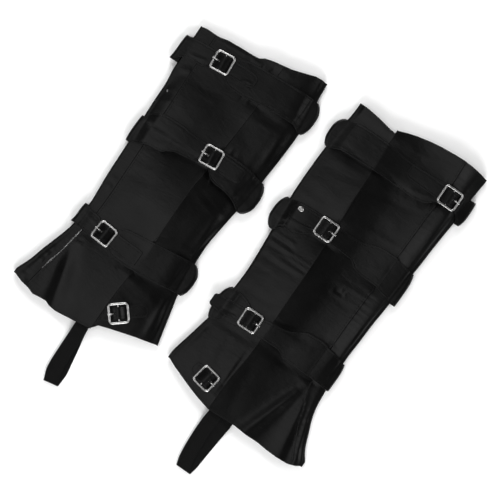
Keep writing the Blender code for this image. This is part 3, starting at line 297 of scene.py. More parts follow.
RIGHT = Cover(
    "right", shin=-1, seam_lap=-1, closure_lap=1, pucker=0.3,
    sections=rows(
        Section, (262, 206, 171, 76, 17, 9.4, 8.2), (235, 204, 172.5, 76.5, 16.8, 10.4, 8.6),
        (200, 203, 171, 78.5, 14, 11.8, 9), (178, 201.4, 170, 79.5, 12.6, 12.8, 9.2),
        (150, 199.5, 169.5, 80.3, 11.5, 13.4, 9.4), (122, 198.2, 169, 82, 11.2, 13.4, 9.4),
        (100, 196.5, 168, 83, 11.6, 12.8, 9.4), (75, 195.5, 167.5, 84, 13, 12.8, 9.4),
        (50, 193.8, 166.5, 84.9, 15.4, 13.4, 9.6), (25, 192, 166, 85.4, 17.5, 14.2, 9.8),
        (0, 191.1, 165.5, 85.4, 19.4, 14.4, 10), (-25, 190, 165.5, 85.9, 20.4, 13.6, 9.8),
        (-50, 190, 166.5, 86.2, 19.5, 12.8, 9.6), (-75, 191.5, 169, 86, 18, 12.4, 9.6),
        (-96, 193.3, 174, 85.5, 15.7, 12.2, 9.6), (-115, 197.3, 181.5, 83.9, 12, 12, 9.4),
        (-135, 205, 188.5, 82, 8.3, 11.6, 9.2), (-155, 212.5, 198, 81.5, 4.3, 11, 9),
        (-173, 222.2, 208, 81.5, 1, 10.2, 8.8)),
    wide_top=rows(
        Edge, (77, 248.4), (87, 252.3), (100.5, 256.7), (120, 261), (135, 263.3), (153, 264.9), (168, 265.8),
        (184, 264.9), (199, 262.9), (206, 261)),
    narrow_top=rows(Edge, (17, 250), (29, 249.8), (48.3, 247.5), (67.7, 244), (76, 243.3)),
    wide_hem=rows(
        Edge, (81.5, -182.6), (104, -181.4), (121, -180.5), (141, -181.9), (157, -181.4), (172, -182.7), (188, -183),
        (203.7, -181.9), (214.6, -178.3), (222.2, -173)),
    narrow_hem=rows(
        Edge, (3.9, -157.5), (15.7, -162.6), (31.3, -168.1), (47, -173.6), (62.7, -178.3), (81.5, -182.6)),
    folds=rows(
        Fold, (169, -76, 135, -183, 3.6, 9, 3.3, 1.2), (172, -80, 190, -181, 5, 16, 2.2, 0.45),
        (184, -84, 212, -177, 3, 6, 0.9, 1)),
    belts=[
        Belt(1, (179.4, 215.6), 0,
             shin_turn=Turn(10.6, 3.3, 13.4, 179.5, 222.6), calf_turn=Turn(209, 212.8, 211.6, 192, 229),
             pad=rows(
                 Station, (178.4, 206, 225.2), (172, 203.5, 228), (166, 199.4, 228.6), (161.4, 195.4, 228.2),
                 (154, 191.2, 227.4), (135, 188.3, 226), (120, 189, 225), (100, 189.4, 225.8), (77, 188.5, 228),
                 (48, 187.4, 228.4), (30, 185.8, 227)),
             tongue=rows(
                 Station, (116.3, 211, 221.5), (118, 208.4, 224), (123, 206.4, 225.6), (140, 206, 226),
                 (163, 206, 225.8), (193, 203.6, 226.6), (198, 202.6, 227.6))),
        Belt(2, (73.2, 92.4), 0,
             shin_turn=Turn(12.6, 1.9, 9.4, 52.5, 98.8), calf_turn=Turn(201.6, 202.2, 198.4, 61, 108.6),
             pad=rows(
                 Station, (72.2, 82.8, 102), (66, 81.5, 103), (60, 76, 104), (51.7, 70, 104.4), (38, 64.4, 103.2),
                 (26, 63.3, 102)),
             tongue=rows(
                 Station, (22, 81.5, 94), (24, 78.6, 97), (28, 77.2, 99), (40, 78, 101), (57, 80.8, 101.8),
                 (90, 80, 104), (105, 79.6, 103.6), (120, 79, 105), (127, 75, 107.4), (133, 71, 110),
                 (141, 69.6, 112.6), (150, 69.3, 114), (164, 69, 114.6), (171, 68.2, 114.2)),
             band=rows(Station, (168.4, 67.8, 113.4), (184, 65.2, 111.4))),
        Belt(3, (61, -58.7), 2,
             shin_turn=Turn(13.6, 8.4, 17.6, -85.6, -36.4), calf_turn=Turn(194.4, 194.8, 192.2, -76.4, -36),
             pad=rows(
                 Station, (60, -68.3, -49.1), (54, -74, -46), (47, -77.8, -41.4), (38, -79.2, -38.4),
                 (31, -79.6, -37)),
             tongue=rows(
                 Station, (4, -68.6, -57), (5.6, -70.6, -55), (10, -71.8, -53.4), (22, -71.8, -51.6),
                 (45, -70.4, -49.4), (78, -70.2, -46.6), (87, -69.4, -45.2), (97, -69, -44.2), (108, -68.8, -42),
                 (116, -71, -38.2), (122, -74.8, -34.4), (132, -75, -29.2), (141, -74.9, -28.2), (152, -74.9, -27.4),
                 (161.4, -74.9, -28.8)),
             band=rows(Station, (158.6, -74.5, -30), (179, -75.4, -32.4)))],
    instep=Instep((57.5, -151.3), -10, 17.5, 80.9, 23),
    stirrup=rows(
        Layer, (-172, 83, 102, 98, 118.4), (-186, 83, 102, 98, 118.4), (-197, 82.2, 101.6, 97.6, 117.4),
        (-210, 82.2, 102, 97, 116.2), (-236, 83.6, 103.6, 96, 114), (-252, 85.6, 106, 93.6, 112.8),
        (-263, 88.6, 110.8, 88.6, 110.8)),
    ridges=rows(Ridge, (-190, 1.2), (-90, 1.6), (0, 2.2), (50, 2), (92, 0.9), (140, 2), (190, 1.8), (262, 1.2)),
    drops=rows(Ridge, (-190, 0.6), (-70, 1), (-20, 1.6), (60, 1.6), (110, 1.4), (180, 1.6), (262, 1.5)),
    creases=rows(
        Crease, (0, 17, 53, 52, 54, 1, 2.3, 0.5), (0, 16, 46.5, 58, 45.5, -1, 2.3, -0.65),
        (0, 17, 41, 62, 42, 1, 2.2, 0.45), (0, 60, 41.5, 86, 42.5, 0, 1.7, 0.4), (0, 52, 36, 86, 35.5, 1, 1.7, 0.4),
        (0, 20, 35, 62, 38.5, 1, 2.1, -0.45), (0, 44, 31, 86, 31.5, -1, 1.9, -0.35),
        (0, 20, 28, 84, 26.5, 2, 2.6, 0.3), (0, 18, 20, 80, 20.5, 1, 3, -0.3), (0, 19, 12, 60, 9, 2, 4.4, 0.3),
        (0, 20, 3, 48, 6, 1, 4, -0.25), (0, 20, -12, 70, -18, 3, 6, 0.25), (0, 22, -28, 78, -24, 2, 5, -0.3),
        (0, 126, 36, 141, 38, 1, 2.8, -0.8), (0, 133, 40, 142, 37, 0, 1.3, 0.6), (0, 118, 44, 166, 48, -2, 3.2, 0.4),
        (0, 112, 30, 160, 26, 2, 4, -0.25), (0, 20, 160, 78, 170, 4, 7, -0.3), (0, 18, 140, 70, 132, 3, 8, 0.3),
        (0, 16, 116, 54, 112, 1, 4.6, 0.25), (0, 92, 172, 160, 176, 3, 5, -0.3), (0, 96, 150, 150, 146, -3, 8, 0.3),
        (0, 100, 122, 160, 126, 2, 5, 0.3), (0, 20, 238, 70, 236, -2, 4, 0.3), (0, 92, 240, 164, 252, 4, 6, 0.3),
        (0, 20, -94, 38, -150, 4, 7, 0.35), (0, 52, -88, 60, -132, 2, 6, -0.3), (0, 96, -88, 108, -176, 4, 9, -0.4),
        (0, 150, -84, 176, -82, 1, 2.4, 0.4), (0, 154, -92, 178, -98, 1, 2.4, -0.3),
        (0, 186, -84, 193, -80, 0, 2.4, 0.6), (0, 188, -108, 196, -112, 0, 3, 0.5),
        (0, 190, -122, 200, -124, 0, 3, 0.5), (1, 20, 196, 60, 192, 1, 2.4, -0.3), (1, 130, 196, 160, 204, 2, 3, 0.4),
        (2, 20, 76, 56, 80, 1, 1.8, 0.45), (2, 20, 70, 52, 73, 1, 1.6, -0.4), (2, 22, 65, 40, 66, 0, 1.5, -0.35),
        (2, 146, 84, 168, 96, 2, 4.2, 0.25), (3, 20, -66, 42, -62, 1, 2.2, -0.3),
        (3, 124, -60, 150, -44, 2, 4.4, 0.25)),
    swells=rows(
        Swell, (0, 191, 15, 62, 8, 70, 75, 4.2), (0, 191, 170, 66, 8, 75, 90, 5.4), (0, 189, 15, 20, 7, 60, 55, 2),
        (0, 190, 170, 20, 7, 55, 90, 2.2), (0, 50, 188, 60, 30, 9, 4, -1.5), (0, 96, 190, 18, 24, 20, 5, -2.2),
        (0, 84, 76, 24, 16, 14, 4, -1.6), (0, 48, 258, 40, 30, 19, 8, 3.6), (0, 175, 280, 70, 60, 30, 8, 6),
        (0, 120, -78, 50, 20, 7, 4, -1), (0, 50, -82, 30, 24, 5, 4, -0.6), (0, 104, -40, 22, 30, 4, 14, -1.2),
        (0, 78, 140, 40, 3, 34, 34, 0.8), (0, 76, -120, 50, 3, 40, 30, 1), (0, 212, -164, 11, 6, 30, 30, 0.9),
        (1, 178, 207, 66, 30, 60, 60, 2.2), (1, 20, 207, 14, 44, 60, 60, 1.6), (2, 172, 92, 30, 30, 60, 60, 1.2),
        (2, 20, 82, 14, 40, 60, 60, 4.4), (3, 152, -54, 60, 45, 60, 60, 6), (3, 24, -62, 14, 36, 60, 60, 1.6),
        (13, 170, -54, 30, 40, 60, 60, 2.6)))

# Rise of a tongue along its run through the buckle: over the bar, then down onto the pad
BarPass = namedtuple("BarPass", "along rise")
BAR_PASS = rows(BarPass, (-40, 0), (-10.2, 0), (-8.2, 0.7), (-4.4, 3.3), (0, BAR_LIFT), (4.4, 3.6), (8.2, 2.2),
                (10.2, PAD_LIFT), (40, PAD_LIFT))
# Rows of a tongue inside the buckle's frame; the prong's slot runs from the second to the fourth
BUCKLE_STATIONS = (-14.0, -10.0, -7.0, -4.2, -1.6, 1.6, 4.2, 7.0, 10.2, 14.0)
SLOT_ROWS = (-10.0, -4.2)
# The prong's middle line: from the bar, under the tongue, up through its slot and onto the frame
ProngPoint = namedtuple("ProngPoint", "along up")
PRONG_LINE = rows(ProngPoint, (-1.5, 3), (-4.4, 2.1), (-6.8, 4), (-9.4, 6.4), (-14.6, 6.9))

# The rounded tip of an instep strap: how far back from its end and how wide there, as a share of its width
TipRow = namedtuple("TipRow", "back width")
INSTEP_TIP = rows(TipRow, (6, 1), (2, 0.84), (0, 0.45))

# Heights of the stirrup's upper and lower layer in the rows of its table
Lift = namedtuple("Lift", "upper lower")
STIRRUP_LIFTS = rows(Lift, (6.9, 3.2), (6.2, 3.2), (4.2, 1.2), (3, 0.2), (2.9, 0), (2.9, 0), (2.9, 0))

# A stretch of a pale mark on the left cover, its middle and width: the tape's pale cut edge at the closure, and a speck
# of painted glint in the same pale colour on the closure strip
TapeRow = namedtuple("TapeRow", "x y width")
PAINTED_GLINT_SPECK = rows(TapeRow, (-195.2, 122.8, 0.8), (-195, 121.2, 2.4), (-194.9, 119.6, 0.9))
TAPE_EDGE = rows(TapeRow, (-182.4, -86, 0.9), (-184.2, -98, 1.6), (-186.2, -110, 1.4), (-188, -121, 0.9),
                 (-190.6, -133, 1.1), (-193.2, -142, 2.2), (-194.6, -149, 0.8), (-196, -157, 0.5))

# The eyelet's middle, its length and width across, and how high its rim stands
Eyelet = namedtuple("Eyelet", "x y long wide high")
EYELET = Eyelet(32.0, 95.0, 8.4, 6.0, 1.1)
EYELET_RIM = 0.46        # half the rim's width as a share of the eyelet's
EYELET_SEAT = 0.35       # its rim's middle and half its thickness, as shares of its height
EYELET_ROUND = 0.5


# Curves, and the form that the solids have too


def column(table, name):
    """One named column of a table as an array."""
    return np.array([getattr(row, name) for row in table], float)


def through(x, knots, values):
    """The smooth curve through the knots: a cubic on each stretch that never swings past its two knots."""
    x = np.asarray(x, float)
    knots = np.broadcast_to(knots, x.shape + np.shape(knots)[-1:])
    values = np.broadcast_to(values, knots.shape)
    x = np.clip(x, knots[..., 0], knots[..., -1])
    chord = np.diff(values, axis=-1) / np.diff(knots, axis=-1)
    before, after = chord[..., :-1], chord[..., 1:]
    same_way = before * after > 0
    shared = 2 * before * after / np.where(same_way, before + after, 1.0)
    slope = np.concatenate([chord[..., :1], np.where(same_way, shared, 0.0), chord[..., -1:]], axis=-1)
    stretch = np.clip((x[..., None] >= knots).sum(-1) - 1, 0, knots.shape[-1] - 2)[..., None]

    def pick(values_at, step=0):
        return np.take_along_axis(values_at, stretch + step, -1)[..., 0]

    length = pick(knots, 1) - pick(knots)
    t = (x - pick(knots)) / length
    return ((2 * t**3 - 3 * t**2 + 1) * pick(values) + (t**3 - 2 * t**2 + t) * length * pick(slope)
            + (3 * t**2 - 2 * t**3) * pick(values, 1) + (t**3 - t**2) * length * pick(slope, 1))


def curve(table, by, name, at):
    """The smooth curve of one column of a table over another, read at the given places."""
    table = sorted(table, key=lambda row: getattr(row, by))
    return through(at, column(table, by), column(table, name))


def smooth_step(t):
    """0 before 0, 1 after 1 and a smooth rise between."""
    t = np.clip(t, 0, 1)
    return t * t * (3 - 2 * t)


def bell(distance, width):
    """A smooth hump, 1 in the middle."""
    return np.exp(-((distance / width) ** 2))


def quarter(t):
    """Depth of a rounded edge at t of its width: 1 at the edge itself and 0 from its inner end on."""
    return 1 - np.sqrt(1 - (1 - np.clip(t, 0, 1)) ** 2)


def unit(vectors):
    """The vectors with length 1."""
    return vectors / np.maximum(np.linalg.norm(vectors, axis=-1, keepdims=True), 1e-9)


def run_along(points):
    """Distance run from the start to each point of a line, or of every column of a grid."""
    step = np.linalg.norm(np.diff(points, axis=0), axis=-1)
    return np.concatenate([np.zeros_like(step[:1]), np.cumsum(step, axis=0)])


def beside(line, x, y):
    """Where a place lies by a line: its share of the way along it and its distance to one side."""
    run_x, run_y = line.x1 - line.x0, line.y1 - line.y0
    length = math.hypot(run_x, run_y)
    return (((x - line.x0) * run_x + (y - line.y0) * run_y) / length**2,
            ((x - line.x0) * run_y - (y - line.y0) * run_x) / length)


def section_at(cover, name, y):
    """A column of the cover's sections at the height y."""
    return curve(cover.sections, "y", name, y)


def fold_rise(cover, x, y):
    """Sum of the flare's folds: each is a bell across its line that grows towards the hem."""
    rise = np.zeros(np.broadcast(x, y).shape)
    for fold in cover.folds:
        along, across = beside(fold, x, y)
        width = fold.wide0 + (fold.wide1 - fold.wide0) * np.clip(along, 0, 1)
        width = width * np.where(across < 0, fold.ease, 1.0)
        rise += fold.rise * smooth_step(along / FOLD_START) * bell(across, width)
    return rise


def top_height(cover, x, y):
    """Height of the body's top surface: a smooth curve across the section, plus the folds."""
    y = np.broadcast_to(y, np.broadcast(x, y).shape)
    calf, closure, seam, shin, crest, middle = (section_at(cover, name, y) for name in Section._fields[1:])
    across = cover.shin * (x - seam)
    closure, shin = cover.shin * (closure - seam), cover.shin * (shin - seam)
    edge = np.full_like(seam, EDGE_HEIGHT)
    places = [cover.shin * (calf - seam) + FOLD_RADIUS, closure, closure / 2, np.zeros_like(seam), shin / 2,
              shin - FOLD_RADIUS]
    heights = [edge, np.full_like(seam, CLOSURE_HEIGHT), middle, crest,
               EDGE_HEIGHT + SHIN_FULLNESS * (crest - EDGE_HEIGHT), edge]
    base = through(across, np.stack(places, -1), np.stack(heights, -1))
    inset = np.minimum(across - places[0], places[-1] - across)
    folded = base + fold_rise(cover, x, y) * smooth_step(inset / SIDE_FADE)
    return np.maximum(folded, np.minimum(base, LOWEST_VALLEY))


def crease_rise(creases, on, x, y):
    """Sum of the creases of a layer: a bell across each bowed line, faded out at both ends."""
    rise = np.zeros(np.broadcast(x, y).shape)
    for crease in creases:
        if crease.on == on:
            along, across = beside(crease, x, y)
            bent = across - crease.bow * 4 * along * (1 - along)
            faded = (smooth_step(along / CREASE_END + CREASE_BEGUN)
                     * smooth_step((1 - along) / CREASE_END + CREASE_BEGUN))
            rise += crease.rise * faded * bell(bent, crease.wide)
    return rise


def strap_edges(stations, x):
    """Lower and upper edge of a strap at x, which run smoothly through its stations."""
    return curve(stations, "x", "low", x), curve(stations, "x", "high", x)


def clear_of_belts(cover, x, y):
    """1 on open leather and 0 under a belt, with a soft change beside it."""
    open_share = np.ones(np.broadcast(x, y).shape)
    for belt in cover.belts:
        beyond_frame = [row for row in belt.tongue if abs(row.x - belt.buckle[0]) > BUCKLE_SIZE / 2]
        low, high = strap_edges([*belt.pad, *beyond_frame, *belt.band], x)
        open_share *= smooth_step(np.maximum(low - y, y - high) / BELT_SHADE)
    return open_share


def swell_rise(swells, on, x, y):
    """Sum of the broad swells of a layer: each a smooth hump that reaches as far as its table says on every side."""
    rise = np.zeros(np.broadcast(x, y).shape)
    for swell in swells:
        if swell.on == on:
            across = (x - swell.x) / np.where(x < swell.x, swell.left, swell.right)
            along = (y - swell.y) / np.where(y < swell.y, swell.below, swell.above)
            rise += swell.rise * np.exp(-(across**2) - along**2)
    return rise


def puckers(cover, y, calfward):
    """Ripples along the closure line: a wave of uneven pitch, short on the panel and longer across the strip."""
    wave = np.sin(2 * math.pi * y / PUCKER_PITCH + 2.0 * np.sin(y / PUCKER_DRIFT))
    wave *= 1 - PUCKER_UNEVEN + PUCKER_UNEVEN * np.sin(y / PUCKER_SWELL)
    reach = np.where(calfward > 0, PUCKER_STRIP * bell(calfward, PUCKER_LONG), bell(calfward, PUCKER_WIDE))
    return cover.pucker * wave * reach


def lap_rise(side, distance, open_share):
    """A lapped seam: the upper panel (side 1) stands over the lower one (-1), which makes way where a belt lies."""
    if not side:
        return 0.0
    share = open_share if side > 0 else open_share - 1
    return LAP * share * np.exp(-distance / LAP_RUN)


def inset_from_sides(cover, x, y):
    """How far a place lies in from where the nearer side edge begins to turn."""
    shin_edge, calf_edge = section_at(cover, "shin_edge", y), section_at(cover, "calf_edge", y)
    return np.minimum(cover.shin * (shin_edge - x), cover.shin * (x - calf_edge)) - FOLD_RADIUS


def side_fade(cover, x, y):
    """1 on the open leather, fading towards the rounded side edges."""
    return smooth_step(inset_from_sides(cover, x, y) / SIDE_FADE + SIDE_BEGUN)


def broad_rise(cover, number, x, y):
    """The broad swells of a layer, which die away at the side edges."""
    run = BELT_EDGE_SWELL if number else EDGE_SWELL
    return swell_rise(cover.swells, number, x, y) * smooth_step(inset_from_sides(cover, x, y) / run)


def ridge_rise(cover, x, y):
    """The soft ridge that the seam makes."""
    fall = np.exp(-np.abs(x - section_at(cover, "seam", y)) / RIDGE_RUN)
    return curve(cover.ridges, "y", "rise", y) * fall * side_fade(cover, x, y)


def seat_height(cover, number, x, y):
    """Height of the body that a belt lies on: it follows the ridge and the swells, not the dips."""
    swell = np.maximum(broad_rise(cover, 0, x, y), 0.0)
    own = broad_rise(cover, number, x, y) if number else 0.0
    return top_height(cover, x, y) + swell + own + ridge_rise(cover, x, y)


def strap_height(cover, number, x, y):
    """Height of the outside of a strap that lies on the body, or level with its turn beside it."""
    return np.maximum(seat_height(cover, number, x, y) + SEAT_GAP + LEATHER, 2 * LOOP_RADIUS)


def dressed_height(cover, x, y, seam_side=0, closure_side=0):
    """Height of the leather on top of the body: the solid's surface with creases, swells, puckers and lapped seams."""
    calfward = cover.shin * (section_at(cover, "closure", y) - x)
    open_share = clear_of_belts(cover, x, y)
    rise = (crease_rise(cover.creases, 0, x, y) + puckers(cover, y, calfward)) * side_fade(cover, x, y)
    rise = np.where(rise > 0, rise * open_share, rise) + broad_rise(cover, 0, x, y) + ridge_rise(cover, x, y)
    rise = rise + lap_rise(seam_side, np.abs(x - section_at(cover, "seam", y)), open_share)
    rise = rise + lap_rise(closure_side, np.abs(calfward), open_share)
    drop = curve(cover.drops, "y", "rise", y) * np.where(calfward > 0, bell(calfward, STRIP_RUN), 0.0)
    return top_height(cover, x, y) + rise - drop


def edge_at(table, x):
    """Height y of a cut edge at x."""
    table = sorted(table)
    return np.interp(x, column(table, "x"), column(table, "y"))


def side_arc(edge_x, outward, radius, base_z, steps):
    """Points round a side edge from its top to its underside, as x and z for each step."""
    turn = np.linspace(math.pi / 2, -math.pi / 2, steps + 1)[1:]
    x = (edge_x - outward * radius)[..., None] + outward * radius * np.cos(turn)
    z = base_z + radius + radius * np.sin(turn)
    return x, np.broadcast_to(z, x.shape)


# Materials


def operator(operation, swapped=False):
    """A method of Socket for one sum, with its two values swapped where the socket stands on the right."""

    def apply(self, *other):
        return self.maths(operation, *([*other, self] if swapped else [self, *other]))

    return apply


class Socket:
    """A value in a material's node tree; arithmetic on it adds Math nodes."""

    __add__, __radd__ = operator("ADD"), operator("ADD", swapped=True)
    __sub__, __rsub__ = operator("SUBTRACT"), operator("SUBTRACT", swapped=True)
    __mul__, __rmul__ = operator("MULTIPLY"), operator("MULTIPLY", swapped=True)
    __abs__ = operator("ABSOLUTE")

    def __init__(self, finish, output):
        self.finish = finish
        self.output = output

    def maths(self, operation, *values):
        """A Math node on these values."""
        return self.finish.node("ShaderNodeMath", {"operation": operation}, dict(enumerate(values)))

    def clipped(self, low=0.0, high=1.0):
        """The value held between two numbers."""
        return self.maths("MINIMUM", self.maths("MAXIMUM", self, low), high)


class Finish:
    """A material made of nodes. Constants go on the shader's own sockets."""

    def __init__(self, name):
        self.material = bpy.data.materials.new(name)
        self.material.use_nodes = True
        self.tree = self.material.node_tree

    def node(self, kind, settings=None, inputs=None, output=0):
        """Adds a node: its settings first, then the values or links of its sockets."""
        made = self.tree.nodes.new(kind)
        for key, value in (settings or {}).items():
            setattr(made, key, value)
        for socket, value in (inputs or {}).items():
            self.feed(made.inputs[socket], value)
        return Socket(self, made.outputs[output])

    def feed(self, socket, value):
        """Links a value to a socket, or sets it where it is a plain number."""
        if isinstance(value, Socket):
            self.tree.links.new(value.output, socket)
        else:
            socket.default_value = value

    def made(self, **inputs):
        """Feeds the shader's sockets, named with _ for a space, and gives the material."""
        shader = self.tree.nodes["Principled BSDF"]
        for socket, value in inputs.items():
            self.feed(shader.inputs[socket.replace("_", " ")], value)
        return self.material

    def place(self, scale=(1.0, 1.0, 1.0), turn=0.0):
        """The point on the object in metres, stretched and turned about +Z."""
        point = self.node("ShaderNodeTexCoord", output="Object")
        return self.node("ShaderNodeMapping", {"vector_type": "POINT"},
                         {"Vector": point, "Rotation": (0.0, 0.0, turn), "Scale": scale})

    def noise(self, place, scale, detail=3.0, roughness=0.5, distortion=0.0):
        """Soft noise from about 0.3 to 0.7."""
        return self.node("ShaderNodeTexNoise", None, {"Vector": place, "Scale": scale, "Detail": detail,
                                                      "Roughness": roughness, "Distortion": distortion})

    def cells(self, place, scale):
        """Distance from the nearest cell's middle."""
        return self.node("ShaderNodeTexVoronoi", {"feature": "SMOOTH_F1"},
                         {"Vector": place, "Scale": scale, "Smoothness": 0.35})

    def bands(self, place, direction, scale, **inputs):
        """Even waves across one direction, with the node's other sockets named with _ for a space."""
        return self.node("ShaderNodeTexWave", {"wave_type": "BANDS", "bands_direction": direction},
                         {"Vector": place, "Scale": scale,
                          **{socket.replace("_", " "): value for socket, value in inputs.items()}}, "Fac")

    def blend(self, share, dark, light):
        """A colour between two, by a share; a plain number is a grey."""
        dark, light = (grey(colour) if isinstance(colour, float) else colour for colour in (dark, light))
        return self.node("ShaderNodeMix", {"data_type": "RGBA"}, {"Factor": share, 6: dark, 7: light}, output=2)

    def bump(self, height, distance, strength, normal=None):
        """A raised surface from a height in the same metres as the distance."""
        inputs = {"Height": height, "Distance": distance, "Strength": strength}
        return self.node("ShaderNodeBump", None, inputs | ({"Normal": normal} if normal else {}))

    def attribute(self, name):
        """A number that the mesh carries at each of its points."""
        return self.node("ShaderNodeAttribute", {"attribute_name": name}, output="Fac")


def grey(value, warmth=0.0):
    """A neutral colour, a little warmer or cooler."""
    return (value * (1 + warmth), value, value * (1 - warmth), 1.0)


def leather_finish(name, turn, shine=0.15):
    """Black coated leather cloth: fine pebble grain, soft stretch creases and rubbed edges."""
    finish = Finish(name)
    place = finish.place()
    patches = finish.noise(place, 34.0, 4.0)
    pebble = finish.cells(place, 1150.0)
    pores = finish.noise(place, 2600.0, 2.0)
    folds = finish.noise(finish.place((38.0, 120.0, 60.0), turn), 1.0, detail=4.0, roughness=0.55, distortion=0.6)
    rubbed = finish.attribute("edge") * (0.35 + 0.9 * finish.noise(place, 420.0, 3.0))
    tone = (0.5 + 1.6 * (patches - 0.5) + 0.35 * (pebble - 0.4)).clipped()
    rough = 0.34 + 0.16 * (patches - 0.5) - 0.03 * rubbed + 0.06 * (pebble - 0.4)
    drape = finish.bump(finish.noise(place, 95.0, 3.0), 0.0004, 0.5)
    creased = finish.bump(abs(folds - 0.5).clipped(0.0, 0.16), 0.0009, 0.4, drape)
    return finish.made(Specular_IOR_Level=shine,
                       Base_Color=finish.blend(rubbed.clipped(), finish.blend(tone, 0.0007, 0.0012), 0.0022),
                       Roughness=rough.clipped(0.27, 0.55) + 0.4 * finish.attribute("rim"),
                       Normal=finish.bump(0.7 * pebble + 0.3 * pores, 0.00010, 0.45, creased))


def elastic_finish():
    """Woven black elastic: fine ribs across the loop and a warp along it."""
    finish = Finish("woven_elastic")
    place = finish.place()
    ribs = finish.bands(place, "Y", 230.0, Distortion=0.6, Detail=2.0, Detail_Scale=3.0)
    warp = finish.bands(place, "X", 420.0, Distortion=0.4)
    fuzz = finish.noise(place, 1500.0, 3.0)
    weave = 0.65 * ribs + 0.35 * warp
    return finish.made(Specular_IOR_Level=0.08, Sheen_Weight=0.009, Sheen_Roughness=0.5,
                       Base_Color=finish.blend((weave * fuzz * 1.6).clipped(), 0.0016, 0.0044),
                       Roughness=(0.72 + 0.3 * (fuzz - 0.5)).clipped(0.5, 0.95),
                       Normal=finish.bump(weave + 0.4 * fuzz, 0.0005, 0.8))


def thread_finish():
    """Black polyester thread with a fine twist."""
    finish = Finish("black_thread")
    twist = finish.noise(finish.place(), 3200.0, 1.0)
    return finish.made(Specular_IOR_Level=0.12, Base_Color=finish.blend(twist, 0.0015, 0.0034),
                       Roughness=(0.48 + 0.2 * (twist - 0.5)).clipped(0.3, 0.7),
                       Normal=finish.bump(twist, 0.0002, 0.6))


def metal_finish():
    """Bright nickel plate with faint rubbing marks and a duller film in places."""
    finish = Finish("nickel_plate")
    film = finish.noise(finish.place(), 300.0, 4.0)
    rub = finish.noise(finish.place((900.0, 5200.0, 2400.0), 0.6), 1.0, 2.0)
    tone = (2.2 * (film - 0.5) + 0.5).clipped()
    return finish.made(Metallic=1.0, Base_Color=finish.blend(tone, grey(0.27, 0.005), grey(0.5, 0.01)),
                       Roughness=(0.34 + 0.16 * (film - 0.4) + 0.05 * (rub - 0.5)).clipped(0.2, 0.5),
                       Normal=finish.bump(rub, 0.00002, 0.35))


def tape_and_glint_finish():
    """The pale cut edge of the closure tape: short uneven fibres. The same pale colour also makes a small speck of
    painted glint on the closure strip.
    """
    finish = Finish("pale_tape_edge")
    fibres = finish.noise(finish.place((2600.0, 700.0, 1500.0), 0.2), 1.0, 3.0)
    gaps = finish.noise(finish.place(), 420.0, 3.0)
    bright = (3.0 * (gaps - 0.42) + 0.8 * (fibres - 0.4)).clipped()
    return finish.made(Roughness=0.9, Base_Color=finish.blend(bright, 0.04, 0.26),
                       Normal=finish.bump(fibres, 0.0004, 0.8))


def floor_finish():
    """A plain white table top, almost even."""
    finish = Finish("white_table")
    return finish.made(Roughness=0.85, Specular_IOR_Level=0.1,
                       Base_Color=finish.blend(finish.noise(finish.place(), 6.0, 2.0), 0.93, 0.95))


# Grids of points, and the walls, tubes and stitches made from them


def stops_short(side):
    """How far a panel ends before its seam line: half the gap, or less than nothing where it is tucked under."""
    return SCENE_GAP / 2 if side >= 0 else -TUCK


def spread(inside):
    """Fixed and share so that fixed * fit + share * width runs over a width, finely at both edges."""
    near = np.array(EDGE_STEPS)
    middle = np.linspace(0, 1, inside + 2)[1:-1]
    fixed = np.concatenate([near, near[-1] * (1 - 2 * middle), -near[::-1]])
    share = np.concatenate([np.zeros(len(near)), middle, np.ones(len(near))])
    return fixed, share


def across_width(width, inside):
    """Distances across each of several widths, finely spaced at both edges."""
    fixed, share = spread(inside)
    width = np.asarray(width, float)[..., None]
    fit = np.minimum(1.0, width / (NARROWEST * EDGE_STEPS[-1]))
    return fixed * fit + share * width


def border_distance(outer):
    """Distance of each point from the grid's border, measured along its rows and its columns."""

    def from_ends(grid):
        run = run_along(grid)
        return np.minimum(run, run[-1] - run)

    return np.minimum(from_ends(outer), from_ends(outer.swapaxes(0, 1)).T)


# A wall that has been made: its outer points and their normals as grids, and its longest run along and across
Surface = namedtuple("Surface", "piece points normals run across")


def cloth_wall(name, outer, thickness, material, slot, flip=False, level=False, hole=None, grooved=False):
    """A closed shell with rounded edges: a grid of outer points, the same grid moved in, and a rim between.

    Its unit normals come from its slopes along rows and columns. Within EDGE_ROLL of the border both faces close in
    on the middle of the wall by a quarter circle. A grooved wall is drawn in along its topstitching. A level wall is
    moved straight down, so that its folds never cross.
    """
    normal = unit(np.cross(np.gradient(outer, axis=1), np.gradient(outer, axis=0))) * (-1 if flip else 1)
    distance = border_distance(outer)
    closing = EDGE_CLOSING * thickness * quarter(distance / EDGE_ROLL)
    drawn = STITCH_GROOVE * bell(distance - STITCH_INSET, GROOVE_WIDE) * grooved
    down, drop = normal, thickness
    if level:
        down, drop = np.array([0.0, 0.0, 1.0]), thickness * np.minimum(1 / normal[..., 2], STEEPEST_DROP)
    top = outer - normal * (closing + drawn)[..., None]
    below = outer - down * (drop - closing)[..., None]
    index = np.arange(distance.size).reshape(distance.shape)
    cells = np.stack([index[:-1, :-1], index[1:, :-1], index[1:, 1:], index[:-1, 1:]], -1)
    kept = np.ones(cells.shape[:2], bool)
    rims = [np.concatenate([index[0, :], index[1:, -1], index[-1, -2::-1], index[-2:0:-1, 0]])]
    if hole:
        (row0, row1), (column0, column1) = hole
        kept[row0:row1, column0:column1] = False
        opening = index[row0:row1 + 1, column0:column1 + 1]
        rims.append(np.concatenate([opening[:, 0], opening[-1, 1:], opening[-2::-1, -1], opening[0, -2:0:-1]]))
    quads = [cells[kept], cells[kept][:, ::-1] + index.size]
    for rim in rims:
        turned = np.roll(rim, -1)
        quads.append(np.stack([rim, turned, turned + index.size, rim + index.size], -1))
    points = np.concatenate([top.reshape(-1, 3), below.reshape(-1, 3)])
    piece = add_piece(name, points, np.concatenate(quads), material, np.tile(distance.ravel(), 2))
    run, across = (float(run_along(grid)[-1].max()) for grid in (outer, outer.swapaxes(0, 1)))
    return Surface(piece, top, normal, run, across)


